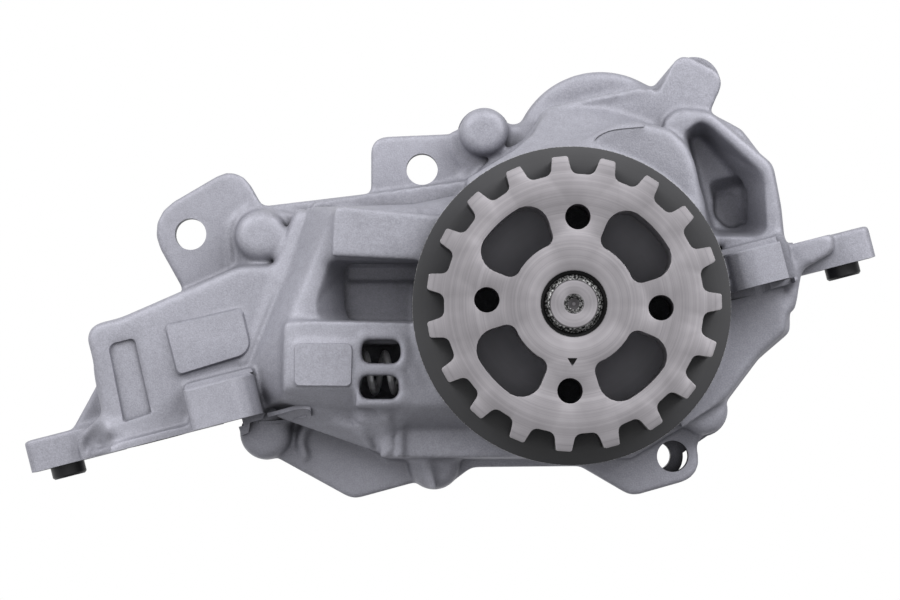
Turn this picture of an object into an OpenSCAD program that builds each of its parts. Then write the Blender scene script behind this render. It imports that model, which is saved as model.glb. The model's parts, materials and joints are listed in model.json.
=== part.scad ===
// Engine oil pump, variable displacement vane type, driven by a toothed pulley.
// X runs along the engine mounting face, +Y away from the pulley, +Z up.
// The origin is the centre of the pulley's front face, on the shaft axis.

/* [Drive pulley] */
// Number of teeth
teeth = 19; // [17:1:21]
// Tooth pitch on the belt's pitch line
tooth_pitch = 9.525; // [9.2:0.025:9.8]
// Pitch line height over the tooth tips
pitch_line_gap = 0.37; // [0.3:0.01:0.6]
// Tooth depth from tip to root
tooth_depth = 3.4; // [3:0.1:3.8]
// Width of a tooth at its tip
tooth_tip_w = 3; // [2.6:0.1:3.4]
// Width of a tooth at its root
tooth_root_w = 4.1; // [3.7:0.1:4.4]
// Length of the toothed body along the shaft
pulley_len = 18; // [16:0.5:19]
// Radius of the belt flange
flange_r = 31.2; // [30:0.1:32]
// Thickness of the belt flange
flange_t = 1.5; // [1.2:0.1:2]
// Angle of the first tooth from the mounting plane's X axis
tooth_phase = 81.1; // [70:0.1:90]
// Pitch circle diameter of the four face holes
face_hole_pcd = 33.5; // [32:0.1:34]
// Radius of a face hole
face_hole_r = 2.45; // [2:0.05:2.8]
// Angle of the first face hole from the X axis
face_hole_phase = 73; // [60:1:80]
// Inner reach of a kidney opening from the axis
kidney_in = 12.2; // [11.5:0.1:12.8]
// Outer reach of a kidney opening from the axis
kidney_out = 21.2; // [20.5:0.1:21.6]
// Half of the angle that a kidney opening spans
kidney_half = 25.5; // [24:0.5:26]

/* [Shaft and bushes] */
// Radius of the drive shaft
shaft_r = 5.6; // [5:0.1:6]
// Chamfer on the ends of the shaft
shaft_chamfer = 0.9; // [0.5:0.1:1.2]
// Radius of the centre drilling in the shaft's front face
centre_r = 1.85; // [1.2:0.05:2.2]
// Radius of the counterbore round the shaft in the pulley's face
hub_recess_r = 6.4; // [6.3:0.1:7]
// Depth of that counterbore
hub_recess_depth = 1.4; // [1:0.1:2]
// Wall of the bearing bushes
bush_wall = 1.8; // [1.5:0.1:2.2]

/* [Pump set] */
// Width of the rotor chamber along the shaft
chamber_len = 16.5; // [15:0.5:17]
// Radius of the rotor
rotor_r = 18.2; // [17.8:0.1:18.4]
// Number of vanes
vanes_n = 7; // [7:1:9]
// Thickness of a vane
vane_t = 2; // [1.6:0.1:2.4]
// Length of a vane from its inner to its outer edge
vane_len = 9.3; // [9:0.1:9.6]
// Bore radius of the control ring
ring_bore_r = 20.9; // [20.8:0.1:21.3]
// Outer radius of the control ring
ring_r = 25; // [24.6:0.1:25.2]
// Eccentricity of the ring at full delivery
eccentricity = 2.3; // [1.8:0.1:2.4]
// Radius of the round part of the chamber
chamber_r = 27.3; // [27.2:0.1:27.8]

/* [Control ring parts] */
// Place of the pivot pin across and up the pump's own axes
pivot_at = [5.5, 27.4];
// Radius of the pivot pin
pivot_r = 2.2; // [2:0.1:2.4]
// Radius of the ring's eye round the pin
eye_r = 4.1; // [3.9:0.1:4.3]
// Height of the control spring's axis in the pump's own axes
spring_up = -13; // [-13.5:0.1:-12.5]
// Outer radius of the control spring
spring_r = 4.6; // [4:0.1:4.8]
// Wire diameter of the control spring
spring_wire = 1.4; // [1.1:0.1:1.5]
// Turns of the control spring
spring_turns = 5; // [4:0.5:6]
// Place of the ring arm's spring face across the pump
arm_face = -29; // [-30:0.1:-28.5]
// Place of the spring pocket's blind end across the pump
spring_end = -52.5; // [-53:0.5:-51]

/* [Housing] */
// Angle between the pump's own axes and the mounting plane
tilt = 14.4; // [13:0.1:16]
// Joint face between housing and cover, behind the belt flange
joint_back = 26.5; // [25.5:0.5:27.5]
// Thickness of the housing's rear flange and ears
rear_flange_t = 6; // [5:0.5:7]
// Front face of the window block, behind the belt flange
block_back = 4; // [3.5:0.1:5]
// Front face of the upper block, behind the belt flange
upper_back = 3; // [2.5:0.5:4]
// Front face of the outlet arm, behind the belt flange
arm_back = 13.5; // [13:0.1:14]
// Front face of the body behind the blocks, behind the belt flange
body_back = 16.5; // [16:0.5:17.5]
// Outer radius of the chamber wall
drum_r = 31; // [30.6:0.1:31]
// Front face of the chamber wall, behind the belt flange
drum_back = 3; // [2.5:0.5:3.5]
// Front face of the bearing boss, behind the belt flange
boss_back = 1.3; // [1:0.1:2]
// Radius of the front bearing boss
boss_r = 12; // [10:0.5:14]
// Height of the raised pads and window rims
pad_t = 0.6; // [0.5:0.1:1.2]
// Width of a spring window
window_w = 7.6; // [7:0.1:8]
// Height of a spring window
window_h = 4.6; // [4:0.1:5]
// Wall in front of the spring pocket
window_wall = 2.8; // [2.4:0.1:3.4]
// Radius of the blind screw bosses
knob_r = 5.1; // [4.6:0.1:5.4]
// Rounded ends of the upper screw bosses, behind the belt flange
knob_back = 14.5; // [14:0.1:15.5]
// Front face of the rim round the right shoulder's recess, behind the belt flange
rim_back = 11.5; // [10.5:0.5:12.5]
// Radius of the dome over the pump
dome_r = 17.6; // [17:0.1:18]

/* [Mounting] */
// Height of the mounting plane from the shaft axis
mount_z = -5.2; // [-5.6:0.1:-5]
// Left bolt lug, from the shaft axis
left_lug_x = -70.8; // [-71.4:0.2:-70.2]
// Right bolt lug, from the shaft axis
right_lug_x = 37.4; // [37:0.1:37.8]
// Axes of the two lug bolts, behind the belt flange
lug_back = 8.5; // [8:0.1:9]
// Radius of a bolt lug
lug_r = 6.8; // [6.4:0.1:7]
// Height of the left bolt lug
left_lug_h = 8.1; // [7.5:0.1:9]
// Height of the right bolt lug
right_lug_h = 7.4; // [7:0.1:8.5]
// Radius of the mounting bolt holes
mount_hole_r = 3.3; // [3.1:0.1:3.5]
// Thickness of the two dowel feet
foot_h = 6.4; // [6:0.1:7]
// Left dowel pin, from the shaft axis
left_dowel_x = -105.4; // [-106:0.2:-105]
// Right dowel pin, from the shaft axis
right_dowel_x = 55.4; // [55:0.2:56]
// Axes of the dowel pins, behind the belt flange
dowel_back = 27.5; // [27:0.1:28]
// Radius of a dowel pin
dowel_r = 3.5; // [3:0.1:4]
// Length of a dowel pin
dowel_len = 7.4; // [6.5:0.1:8]
// Length of a dowel pin below the mounting plane
dowel_out = 2.5; // [2:0.1:3]
// Step in radius on a dowel pin's pressed-in end
dowel_step = 0.2; // [0.1:0.05:0.4]
// Radius of the through holes in the three ears
ear_hole_r = 3.15; // [2.9:0.05:3.4]

/* [Oil ports] */
// Place of the outlet port along the mounting plane
outlet_x = -86; // [-87:0.1:-85]
// Axis of the outlet port, behind the belt flange
outlet_back = 19.5; // [19.3:0.1:19.7]
// Radius of the outlet port
outlet_r = 3.8; // [3.4:0.1:4]
// Radius of the inlet port in the cover
inlet_r = 8.5; // [7.5:0.1:9]
// Place of the inlet port across and up the pump's own axes
inlet_at = [-1, -18.6];
// Reach of the inlet stub behind the cover plate
inlet_stub = 9; // [7:0.5:12]
// Distance between the two screws of the inlet's pipe flange
inlet_ears = 32; // [31:0.5:33]

/* [Relief valve] */
// Height of the relief valve over the shaft axis
relief_z = 14; // [13.8:0.1:14.3]
// Radius of the relief valve's bore
relief_r = 4.5; // [4.3:0.1:4.6]
// Place of the valve seat along the mounting plane
relief_seat_x = -66; // [-67:0.1:-65]
// Length of the relief piston
piston_len = 10; // [9:0.5:11]
// Radius of the screwed plug
plug_r = 5; // [4.8:0.1:5.2]
// Length of the screwed plug
plug_len = 6; // [5:0.5:7]
// Radius of the relief spring's coil at the middle of its wire
relief_coil_r = 2.6; // [2.4:0.1:2.8]
// Wire diameter of the relief spring
relief_wire = 0.8; // [0.6:0.1:0.9]

/* [Cover and screws] */
// Thickness of the rear cover
cover_t = 5.5; // [5:0.5:6.5]
// Height of the screw seats on the cover
seat_t = 1.5; // [1:0.1:2]
// Radius of the screw thread
screw_r = 2.95; // [2.9:0.05:3]
// Width across the flats of the screw heads
screw_flats = 8; // [7:0.5:9]
// Height of the screw heads
screw_head_h = 5; // [4:0.5:6]
// Radius of the two pins that locate the cover
cover_pin_r = 2; // [1.8:0.1:2.2]
// Depth of those pins in the housing and in the cover
cover_pin_in = [5, 3];

/* [Clearances] */
// Radial running clearance of shafts and pins
run_gap = 0.05; // [0.03:0.01:0.08]
// Clearance at the faces of the moving pump set
face_gap = 0.1; // [0.08:0.01:0.2]
// Gap between seated parts that must not overlap
seat_gap = 0.02; // [0.01:0.01:0.05]

/* [Hidden] */
$fn = 48;

// Derived sizes of the pulley
pitch_r = teeth * tooth_pitch / 360 * 180 / PI;
tip_r = pitch_r - pitch_line_gap;
root_r = tip_r - tooth_depth;

// Timing mark in the pulley's face, in the pump's own axes
mark_at = [-0.3, -11];
mark_depth = 0.4;

// Depths of what lies behind the belt flange
behind = pulley_len + flange_t;
joint_y = behind + joint_back;
block_y = behind + block_back;
upper_y = behind + upper_back;
arm_y = behind + arm_back;
body_y = behind + body_back;
drum_y = behind + drum_back;
boss_y = behind + boss_back;
knob_y = behind + knob_back;
rim_y = behind + rim_back;
pocket_y = joint_y - 6;
recess_y = body_y - 1.5;
lug_y = behind + lug_back;
dowel_y = behind + dowel_back;
outlet_y = behind + outlet_back;
// The casting's solids run past the joint face and are cut there together
past_y = joint_y + 1;

// Places along the mounting plane
foot_over = [6.8, 6.6];
lug_x = [left_lug_x, right_lug_x];
dowel_x = [left_dowel_x, right_dowel_x];
arm_end_x = -95.4;
// Half of the width of anything that cuts the whole casting
beyond = 150;

// Derived places of the pump set
chamber_y = joint_y - chamber_len;
set_y0 = chamber_y + face_gap;
set_y1 = joint_y - face_gap;
vane_tip_r = rotor_r + 0.15;
vane_in_r = vane_tip_r - vane_len;
vane_ring_t = 1.6;
vane_ring_r = vane_in_r - run_gap;
vane_ring_in = vane_ring_r - 1.6;
bush_r = shaft_r + run_gap + bush_wall;
shaft_end = joint_y + cover_t - 0.4;
// The seal slides on an arc round the pivot pin
seal_at = [arm_face + 3.2, spring_up - spring_r - 1.6];
swing_r = norm(seal_at - pivot_at) + 0.37;
spring_y = (set_y0 + set_y1) / 2 - 3.4;
spring_pocket = spring_r + 1;
seat_rim_t = 1;
seal_w = 2.4;
seal_len = 3.4;
seal_back = 1.4;

// Derived places of the relief valve and the outlet channel
relief_y = arm_y + (joint_y - arm_y) / 2;
plug_x = -93.6;
channel_z = 0.5;
channel_depth = 9;

// Housing places in the pump's own axes: across, up
ear_holes = [[-75.7, 14.8], [-29.4, 27.8], [20.7, -29.6]];
knobs = [[-61.5, 14.4], [-17, 35.1], [26.7, -20.4]];
knob_over = [0.3, 0, 0];
low_bosses = [[-60.6, -25], [-27, -31]];
rear_screws = [[25.3, 45.4], [38.3, -1.6]];
screws = concat(knobs, low_bosses, rear_screws);
cover_pins = [[-53.5, 17], [29.8, 33.1]];
pin_boss_r = 4.5;
dome_at = [6.4, 29.95];
lug_tops = [left_lug_h, right_lug_h];
// Hole in the cover's ear, beside the lower right ear of the housing
cover_ear_hole = ear_holes[2] + [-2.9, 0];
// Depth where the screw holes end, in the order of the screws
function hole_front(i) = i < 3 ? knob_y + 3.4 : knob_y + 5.4;
windows = [[-37.35, -8.9], [-37.7, -15.9]];

// Outlines in the pump's own axes: across, up, corner radius
rear_outline = [
    [-85.1, 17.8, 7], [-66.2, 28.9, 4.7], [-61.4, 20.4, 1.5], [-39.6, 23, 1],
    [-39.6, 34.2, 3], [-22.9, 34.9, 1], [-10.6, 36.9, 1], [8, 36, 0], [16.5, 43.8, 1],
    [22.2, 50.6, 2.6], [30.8, 46, 3], [28, 39.3, 1], [34.6, 35.8, 3], [41.3, 27, 4],
    [42.8, 13, 2], [44.2, 2, 2], [44.2, -4.8, 2], [37.9, -10.2, 3], [31.6, -18.6, 3],
    [25.4, -27.4, 2], [26.6, -33.6, 4.5], [12.5, -37.6, 4], [2.2, -31.6, 2], [-19.5, -31.8, 3],
    [-24, -35.2, 2], [-30, -34.6, 1],
    [-43.2, -38.2, 4], [-60, -29, 2], [-66.2, -20, 2], [-77.6, 4.4, 1]];
body_outline = [
    [-65.5, -13.4, 1], [-55.2, 5.4, 4], [-51.4, 20.9, 2], [-39.6, 22.8, 2],
    [-20.5, 25.4, 3], [-11.4, 30.9, 5], [-7.6, 34.4, 4], [-5, 39.2, 2.5], [6.1, 41.9, 20],
    [16.8, 43.9, 2], [21.5, 37.6, 1], [26.4, 40, 2.5], [34.2, 35.4, 3], [41, 27, 4],
    [42.4, 13, 2], [43.5, 4, 2], [43.6, -4.6, 2.5], [37.6, -10, 3], [31.2, -18.4, 3],
    [12.4, -30, 3], [-36, -30.2, 2], [-43.6, -25.7, 3], [-49.6, -22.7, 3], [-61, -22.4, 1]];
block_outline = [
    [-56.7, -2.7, 1.2], [-20, -3.3, 0], [-20, -21.6, 0], [-33, -20.4, 2], [-57, -19, 1.2]];
upper_outline = [[-46.8, 19.9, 1.2], [-14, 16.6, 0], [-14, 8.2, 0], [-47, 9.9, 0.5]];
rim_outline = [
    [18.5, 37.2, 2], [21.6, 39.6, 3], [27.9, 38.9, 2.5], [40.4, 28.4, 3], [42, 20, 5],
    [42.8, 12, 2], [24, 12, 0]];
tab_outline = [[17, 41.8, 0], [21.9, 51, 2.6], [31.2, 46.3, 3], [28.2, 39.4, 1], [20, 36, 0]];
knob_web = [
    [-23.3, 35.6, 1], [-23.2, 31, 3], [-20.6, 27.8, 2], [-22.4, 24.2, 1.5], [-27, 23.4, 0],
    [-20, 21, 0], [-12, 28, 0], [-7, 35, 0], [-10.6, 36.7, 1]];
left_knob_web = [[-66, 4, 0], [-66, 15, 3], [-61.5, 20, 3], [-50, 18, 0], [-52, 4, 0]];
low_right = [
    [30, 0.3, 0], [42.8, 0.9, 1.5], [43.3, -4.5, 2.5], [37.4, -9.8, 3], [31, -18.2, 3],
    [22, -24, 0], [20, 0, 0]];
ledge_outline = [[-37, -20, 0], [12, -20, 0], [10, -29.6, 0], [-35.6, -29.9, 1]];
// Two upright ribs under the window block: across, radius
ribs = [[-36.5, 1.2], [-33.8, 1.4]];
fin_outline = [[-29.4, -29.5, 0], [-28, -29.5, 0], [-26.2, -36.2, 0.4], [-27.4, -36.4, 0.4]];
// The body's upper edge above the chamber wall, where its skirt ends
skirt_outline = [
    [-20.5, 25.2, 0], [-11.4, 30.7, 5], [-7.4, 34.2, 4], [-4.8, 39, 2.5], [6.1, 41.7, 20],
    [16.6, 43.5, 2], [22.4, 36, 0], [26.8, 20, 0], [20, 0, 0], [-20, 0, 0]];
// Sloping walls: each outline at the wall's front and where it ends
shoulder_top = [[-46.5, 19.4], [-55.5, -3], [-57, -18.4], [-30, -18.4], [-30, 19.4]];
shoulder_foot = [[-52.4, 20], [-65.6, -13.4], [-62, -20], [-30, -20], [-30, 20.6]];
underside_top = [[-33.6, -20.2], [-8, -20.2], [-8, -16], [-33.6, -16]];
underside_foot = [[-33.6, -24.6], [-4, -24.6], [-4, -16], [-33.6, -16]];
web_top = [
    [-53.4, -19.4], [-47.5, -20.6], [-41.6, -23.3], [-36.2, -23.6], [-36.2, -18],
    [-53.4, -18]];
web_foot = [
    [-58.6, -21.9], [-49.7, -22.6], [-43.7, -25.5], [-36.4, -29.6], [-36.2, -18],
    [-58.6, -18]];
window_pad = [[-54.8, -15.2, 1], [-43.1, -15.5, 1], [-43.1, -7.1, 1], [-54.8, -6.6, 1]];
// Recess in the right shoulder: its mouth, its floor and the deeper part below
pocket_mouth = [
    [22.6, 34.7, 1], [25.9, 37.2, 1.5], [28.2, 35.8, 2], [38.7, 26.2, 3], [39.2, 13.9, 2],
    [28, 14.1, 2]];
pocket_floor = [
    [24, 33.4, 1], [26, 34.8, 1], [33.8, 25.4, 2], [35, 22.8, 1], [35, 15.6, 1.5],
    [28.8, 15.4, 1.5]];
pocket_low = [
    [29, 22.8, 0.5], [34, 24, 2], [34.8, 16.2, 1.5], [31.6, 15.9, 2], [29, 18.6, 1.5]];
// Recess between the two blocks: its floor and its wider mouth
recess_floor = [[-44.4, 8.6, 1.5], [-27.4, 8.4, 1.5], [-28.8, -2.7, 1.5], [-44, -2.6, 2]];
recess_mouth = [[-48.6, 9.4, 1], [-27.4, 8.8, 1], [-28.8, -2.9, 1], [-52.6, -2.7, 1.5]];

// Outlines in the mounting plane's axes: along X, up Z, corner radius
arm_outline = [
    [-94.5, 20.6, 3.5], [-87.6, 20.2, 10], [-61.5, 24.4, 5], [-48, 21, 0],
    [-48, mount_z + 0.6, 0], [-73, mount_z + 0.6, 0], [-73, mount_z, 0],
    [arm_end_x, mount_z, 1], [arm_end_x + 0.2, 6, 2]];
arm_sole = [
    [arm_end_x, mount_z, 0], [-73, mount_z, 0], [-73, mount_z + 0.6, 0],
    [-54, mount_z + 0.6, 0], [-54, mount_z + 2.4, 0.8], [arm_end_x, mount_z + 2.4, 0.8]];
// Fillet between the arm's end and the left foot, seen from above
foot_fillet = [
    [arm_end_x - 9.6, 39.4 - dowel_y, 0], [arm_end_x - 2.8, 38.6 - dowel_y, 6],
    [arm_end_x + 0.2, arm_y - 1.5 - dowel_y, 0], [arm_end_x + 4, arm_y - dowel_y, 0],
    [arm_end_x + 4, -2, 0], [arm_end_x - 9.6, -2, 0]];
arm_pad = [[-79, 15.5, 1.5], [-63, 15.9, 1.5], [-63.3, 7.4, 2.5], [-79, 6.4, 1]];
arm_sunk_pad = [[-90.6, 15.8, 2], [-85, 15.4, 1], [-85.4, 0.8, 0.5], [-91.2, 0.2, 1]];
neck_outline = [[-6, 31.2, 3], [31.2, 31.6, 9.5], [30.3, 8, 2], [-6, 8, 0]];
left_gusset = [
    [-103, mount_z + 4, 0], [-94, mount_z + 4, 0], [-94, 10, 0], [-96.2, 7.6, 0],
    [-102, 1.4, 0]];
right_gusset = [
    [40, 2, 0], [47, 1.4, 1], [54.5, 1.6, 1], [54, mount_z + 3, 1], [46.6, mount_z + 1, 1],
    [43, -12, 2], [36, -12, 0]];
// Slot that the cutter of the right lug's sole leaves in the casting
lug_slot = [
    [30.6, mount_z, 0], [45, mount_z, 0], [42.6, mount_z - 2.6, 0.6],
    [30.6, mount_z - 2.2, 0]];
channel_outline = [
    [-24.5, 17.3, 0], [-22.8, 23.9, 0], [-42, 28.4, 3], [-48.5, 21.5, 3], [-57, 17.6, 3],
    [-59.6, 7.4, 2], [-90.3, 7.4, 2], [-90.3, channel_z, 2], [-59.6, channel_z, 2],
    [-55.6, 8.6, 3], [-47, 8.8, 2], [-45.4, 19, 2], [-42, 22.1, 1]];

// Front faces and outlines of the casting's steps, in the pump's own axes
pump_steps = [
    [joint_y - rear_flange_t, rear_outline], [body_y, body_outline], [block_y, block_outline],
    [upper_y, upper_outline], [rim_y, rim_outline], [body_y, tab_outline],
    [joint_y - rear_flange_t - 0.8, knob_web], [body_y + 2.5, left_knob_web],
    [behind + 12, low_right], [behind + 11, ledge_outline], [knob_y + 0.5, fin_outline]];
// The same in the mounting plane's axes
mount_steps = [
    [arm_y, arm_outline], [arm_y - 1.6, arm_sole], [behind + 5, neck_outline],
    [arm_y + 7, left_gusset], [behind + 12.5, right_gusset]];

// Outlines of the cover, in the pump's own axes and in the mounting plane's
cover_outline = [
    [-60, -9, 2], [-57, 4, 4], [-67.4, 10, 4], [-66.5, 19, 4], [-38, 22, 2],
    [-21, 24.4, 3], [-21.6, 35, 4], [-11.4, 36.4, 3], [-7, 36.4, 2], [-4, 43, 5],
    [14, 45.2, 4], [20.4, 41.6, 1], [23.4, 48.2, 3], [28.8, 46.8, 3], [27.6, 39, 2],
    [36.4, 34, 5], [40.5, 26.6, 4], [41.8, 10, 2], [42.8, -2.5, 3], [37, -9.6, 3],
    [31, -19, 3], [30.2, -24, 3], [20, -31, 3], [-21, -30.6, 2], [-25, -35, 3],
    [-33, -33, 3], [-43.6, -36.4, 3], [-57, -29.4, 2], [-64, -27.6, 3], [-64.6, -19, 3],
    [-56, -18, 2]];
cover_arm_outline = [[-92, 19, 4], [-60, 22.4, 4], [-52, 10, 0], [-58, -2, 2], [-92, -1, 4]];
pressure_port = [
    [9.5, 10.5, 2.5], [8.5, 18.8, 3], [-8, 20.5, 2], [-35, 17.2, 1], [-35, 10.6, 1],
    [-20, 9.4, 2], [-11.5, 5.5, 3], [-6, 11.2, 5]];
pressure_port_depth = 3;
inlet_stub_wall = 4;
bush_boss_wall = 3;

// Point of a corner: p0, p1 and p2 are its three points, p1 with a radius
function unit2(v) = v / norm(v);
function turned(p, a) = [p[0] * cos(a) - p[1] * sin(a), p[0] * sin(a) + p[1] * cos(a)];
function corner(p0, p1, p2, r, steps) =
    let (a = unit2(p0 - p1), b = unit2(p2 - p1), half = acos(a * b) / 2,
        c = p1 + unit2(a + b) * r / sin(half), from = p1 + a * r / tan(half) - c,
        side = a[0] * b[1] - a[1] * b[0] > 0 ? -1 : 1, sweep = side * (180 - 2 * half))
    [for (i = [0:steps]) c + turned(from, sweep * i / steps)];
function rounded(pts, steps = 4) =
    let (n = len(pts))
    [for (i = [0:n - 1])
        let (q = pts[i], p0 = pts[(i + n - 1) % n], p2 = pts[(i + 1) % n])
        each q[2] > 0
            ? corner([p0[0], p0[1]], [q[0], q[1]], [p2[0], p2[1]], q[2], steps)
            : [[q[0], q[1]]]];

// Solid between two depths from a flat shape in X and Z
module prism(y0, y1) {
    translate([0, y1, 0]) rotate([90, 0, 0]) linear_extrude(height = y1 - y0) children();
}
// Round bar or hole along Y
module rod(at, r, y0, y1) {
    translate([at[0], y0, at[1]]) rotate([-90, 0, 0]) cylinder(r = r, h = y1 - y0);
}
// Round bar or hole along Z
module post(x, y, r, z0, z1) {
    translate([x, y, z0]) cylinder(r = r, h = z1 - z0);
}
// Solid of revolution about an axis along Y, from a half profile of radius and depth
module turned_y(at, profile) {
    translate([at[0], 0, at[1]]) rotate([-90, 0, 0]) rotate_extrude() polygon(profile);
}
// Turns the pump's own axes into the mounting plane's axes
module pump_axes() {
    rotate([0, tilt, 0]) children();
}
// Rectangle in X and Z with rounded corners
module soft_rect(at, w, h, r) {
    translate(at) polygon(rounded([
        [-w / 2, -h / 2, r], [w / 2, -h / 2, r], [w / 2, h / 2, r], [-w / 2, h / 2, r]]));
}

// Coil spring along +X from the origin, with closed ends
function coil_point(t, r, len, turns, wire) =
    let (a = 360 * turns * t, lift = wire / 2 + (len - wire) * t)
    [lift, r * cos(a), r * sin(a)];
module coil(r, len, turns, wire, rings_per_turn = 16, sides = 8) {
    n = floor(turns * rings_per_turn);
    pts = [for (i = [0:n]) for (k = [0:sides - 1])
        let (a = 360 * turns * i / n, c = coil_point(i / n, r, len, turns, wire),
            w = wire / 2, s = 360 * k / sides)
        [c[0] + w * sin(s), c[1] + w * cos(s) * cos(a), c[2] + w * cos(s) * sin(a)]];
    faces = concat(
        [[for (k = [0:sides - 1]) k]],
        [for (i = [0:n - 1]) for (k = [0:sides - 1])
            let (j = (k + 1) % sides)
            [i * sides + j, i * sides + k, (i + 1) * sides + k, (i + 1) * sides + j]],
        [[for (k = [sides - 1:-1:0]) n * sides + k]]);
    polyhedron(points = pts, faces = faces, convexity = 10);
}

// Toothed rim as one outline
function tooth_ring() =
    let (tip_a = asin(tooth_tip_w / 2 / tip_r), root_a = asin(tooth_root_w / 2 / root_r))
    [for (i = [0:teeth - 1])
        let (a = tooth_phase + 360 * i / teeth)
        each [
            [root_r * cos(a - root_a), root_r * sin(a - root_a), 1.5],
            [tip_r * cos(a - tip_a), tip_r * sin(a - tip_a), 0.45],
            [tip_r * cos(a + tip_a), tip_r * sin(a + tip_a), 0.45],
            [root_r * cos(a + root_a), root_r * sin(a + root_a), 1.5]]];
// Kidney: a sector between two circles round the shaft, with rounded corners
function polar(r, a) = [r * cos(a), r * sin(a), 0];
module kidney() {
    outer_round = 4.2;
    inner_round = 2.1;
    outer_a = kidney_half - 13;
    inner_a = kidney_half - 12;
    polygon(rounded(concat(
        [polar(kidney_out, -kidney_half) + [0, 0, outer_round]],
        [for (i = [-3:3]) polar(kidney_out, outer_a * i / 3)],
        [polar(kidney_out, kidney_half) + [0, 0, outer_round]],
        [polar(kidney_in, kidney_half) + [0, 0, inner_round]],
        [for (i = [-2:2]) polar(kidney_in, -inner_a * i / 2)],
        [polar(kidney_in, -kidney_half) + [0, 0, inner_round]]), 6));
}

module pulley() {
    color([0.56, 0.53, 0.54]) difference() {
        prism(0, pulley_len) difference() {
            polygon(rounded(tooth_ring(), 4));
            for (i = [0:3]) rotate(face_hole_phase + 45 + 90 * i) kidney();
        }
        for (i = [0:3]) {
            a = face_hole_phase + 90 * i;
            rod(face_hole_pcd / 2 * [cos(a), sin(a)], face_hole_r, -1, pulley_len + 1);
        }
        rod([0, 0], shaft_r + seat_gap, -1, pulley_len + 1);
        rod([0, 0], hub_recess_r, -1, hub_recess_depth);
        pump_axes() translate([mark_at[0], -mark_depth, mark_at[1]]) rotate([-90, 90, 0])
            cylinder(r = 1.1, h = 2 * mark_depth, $fn = 3);
    }
}

module pulley_flange() {
    color([0.16, 0.16, 0.18]) difference() {
        rod([0, 0], flange_r, pulley_len, pulley_len + flange_t);
        rod([0, 0], shaft_r + seat_gap, pulley_len - 1, pulley_len + flange_t + 1);
        for (i = [0:3]) {
            a = face_hole_phase + 90 * i;
            rod(face_hole_pcd / 2 * [cos(a), sin(a)], face_hole_r, pulley_len - 1,
                pulley_len + flange_t + 1);
        }
    }
}

module drive_shaft() {
    color([0.6, 0.6, 0.62]) turned_y([0, 0], [
        [0, 1.2], [centre_r * 0.6, 1.2], [centre_r, 0], [shaft_r - shaft_chamfer, 0],
        [shaft_r, shaft_chamfer], [shaft_r, shaft_end - shaft_chamfer],
        [shaft_r - shaft_chamfer, shaft_end], [0, shaft_end]]);
}

module rotor() {
    color([0.5, 0.5, 0.52]) difference() {
        rod([0, 0], rotor_r, set_y0, set_y1);
        rod([0, 0], shaft_r + seat_gap, set_y0 - 1, set_y1 + 1);
        for (i = [0:vanes_n - 1]) rotate([0, 360 * i / vanes_n, 0])
            translate([vane_in_r - 0.4, set_y0 - 1, -vane_t / 2 - run_gap])
                cube([rotor_r, set_y1 - set_y0 + 2, vane_t + 2 * run_gap]);
        for (y = [set_y0, set_y1 - vane_ring_t - face_gap]) difference() {
            rod([0, 0], vane_ring_r + 1.6, y - (y == set_y0 ? 1 : 0),
                y + vane_ring_t + face_gap + (y == set_y0 ? 0 : 1));
            rod([0, 0], vane_ring_in - run_gap, y - 2, y + vane_ring_t + 3);
        }
    }
}

module vanes() {
    color([0.66, 0.66, 0.68]) intersection() {
        rod([0, 0], vane_tip_r, set_y0, set_y1);
        for (i = [0:vanes_n - 1]) rotate([0, 360 * i / vanes_n, 0])
            translate([vane_in_r, set_y0, -vane_t / 2])
                cube([vane_len + 1, set_y1 - set_y0, vane_t]);
    }
}

module vane_ring(y) {
    difference() {
        rod([0, 0], vane_ring_r, y, y + vane_ring_t);
        rod([0, 0], vane_ring_in, y - 1, y + vane_ring_t + 1);
    }
}
module front_vane_ring() {
    color([0.7, 0.7, 0.72]) vane_ring(set_y0);
}
module rear_vane_ring() {
    color([0.7, 0.7, 0.72]) vane_ring(set_y1 - vane_ring_t);
}

// Line from the pivot pin through the seal in the ring's arm
seal_dir = unit2(seal_at - pivot_at);
seal_angle = atan2(seal_dir[1], seal_dir[0]);
module seal_slot(r0, r1, w) {
    translate(pivot_at) rotate(seal_angle) translate([r0, -w / 2]) square([r1 - r0, w]);
}
seal_tip_r = swing_r - run_gap;

module control_ring() {
    arm_low = spring_up - spring_r - 1;
    color([0.48, 0.48, 0.5]) pump_axes() difference() {
        union() {
            rod([eccentricity, 0], ring_r, set_y0, set_y1);
            rod(pivot_at, eye_r, set_y0, set_y1);
            prism(set_y0, set_y1) polygon([
                [pivot_at[0] - eye_r, pivot_at[1]], [pivot_at[0] + eye_r, pivot_at[1]],
                [pivot_at[0] + eye_r, 22], [pivot_at[0] - eye_r, 22]]);
            prism(set_y0, set_y1) intersection() {
                polygon(rounded([
                    [-14, -19.5, 0], [arm_face + 2, arm_low - 3, 1],
                    [arm_face, arm_low, 1], [arm_face, spring_up + spring_r + 0.6, 1.5],
                    [-20, -7, 0]]));
                translate(pivot_at) circle(r = swing_r - 0.5, $fn = 180);
            }
        }
        rod([eccentricity, 0], ring_bore_r, set_y0 - 1, set_y1 + 1);
        rod(pivot_at, pivot_r + run_gap, set_y0 - 1, set_y1 + 1);
        prism(set_y0 - 1, set_y1 + 1)
            seal_slot(seal_tip_r - seal_len - seal_back, swing_r + 1, seal_w);
    }
}

module pivot_pin() {
    color([0.72, 0.72, 0.74]) pump_axes()
        rod(pivot_at, pivot_r, chamber_y - 2.5, joint_y + 2.5);
}

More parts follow.
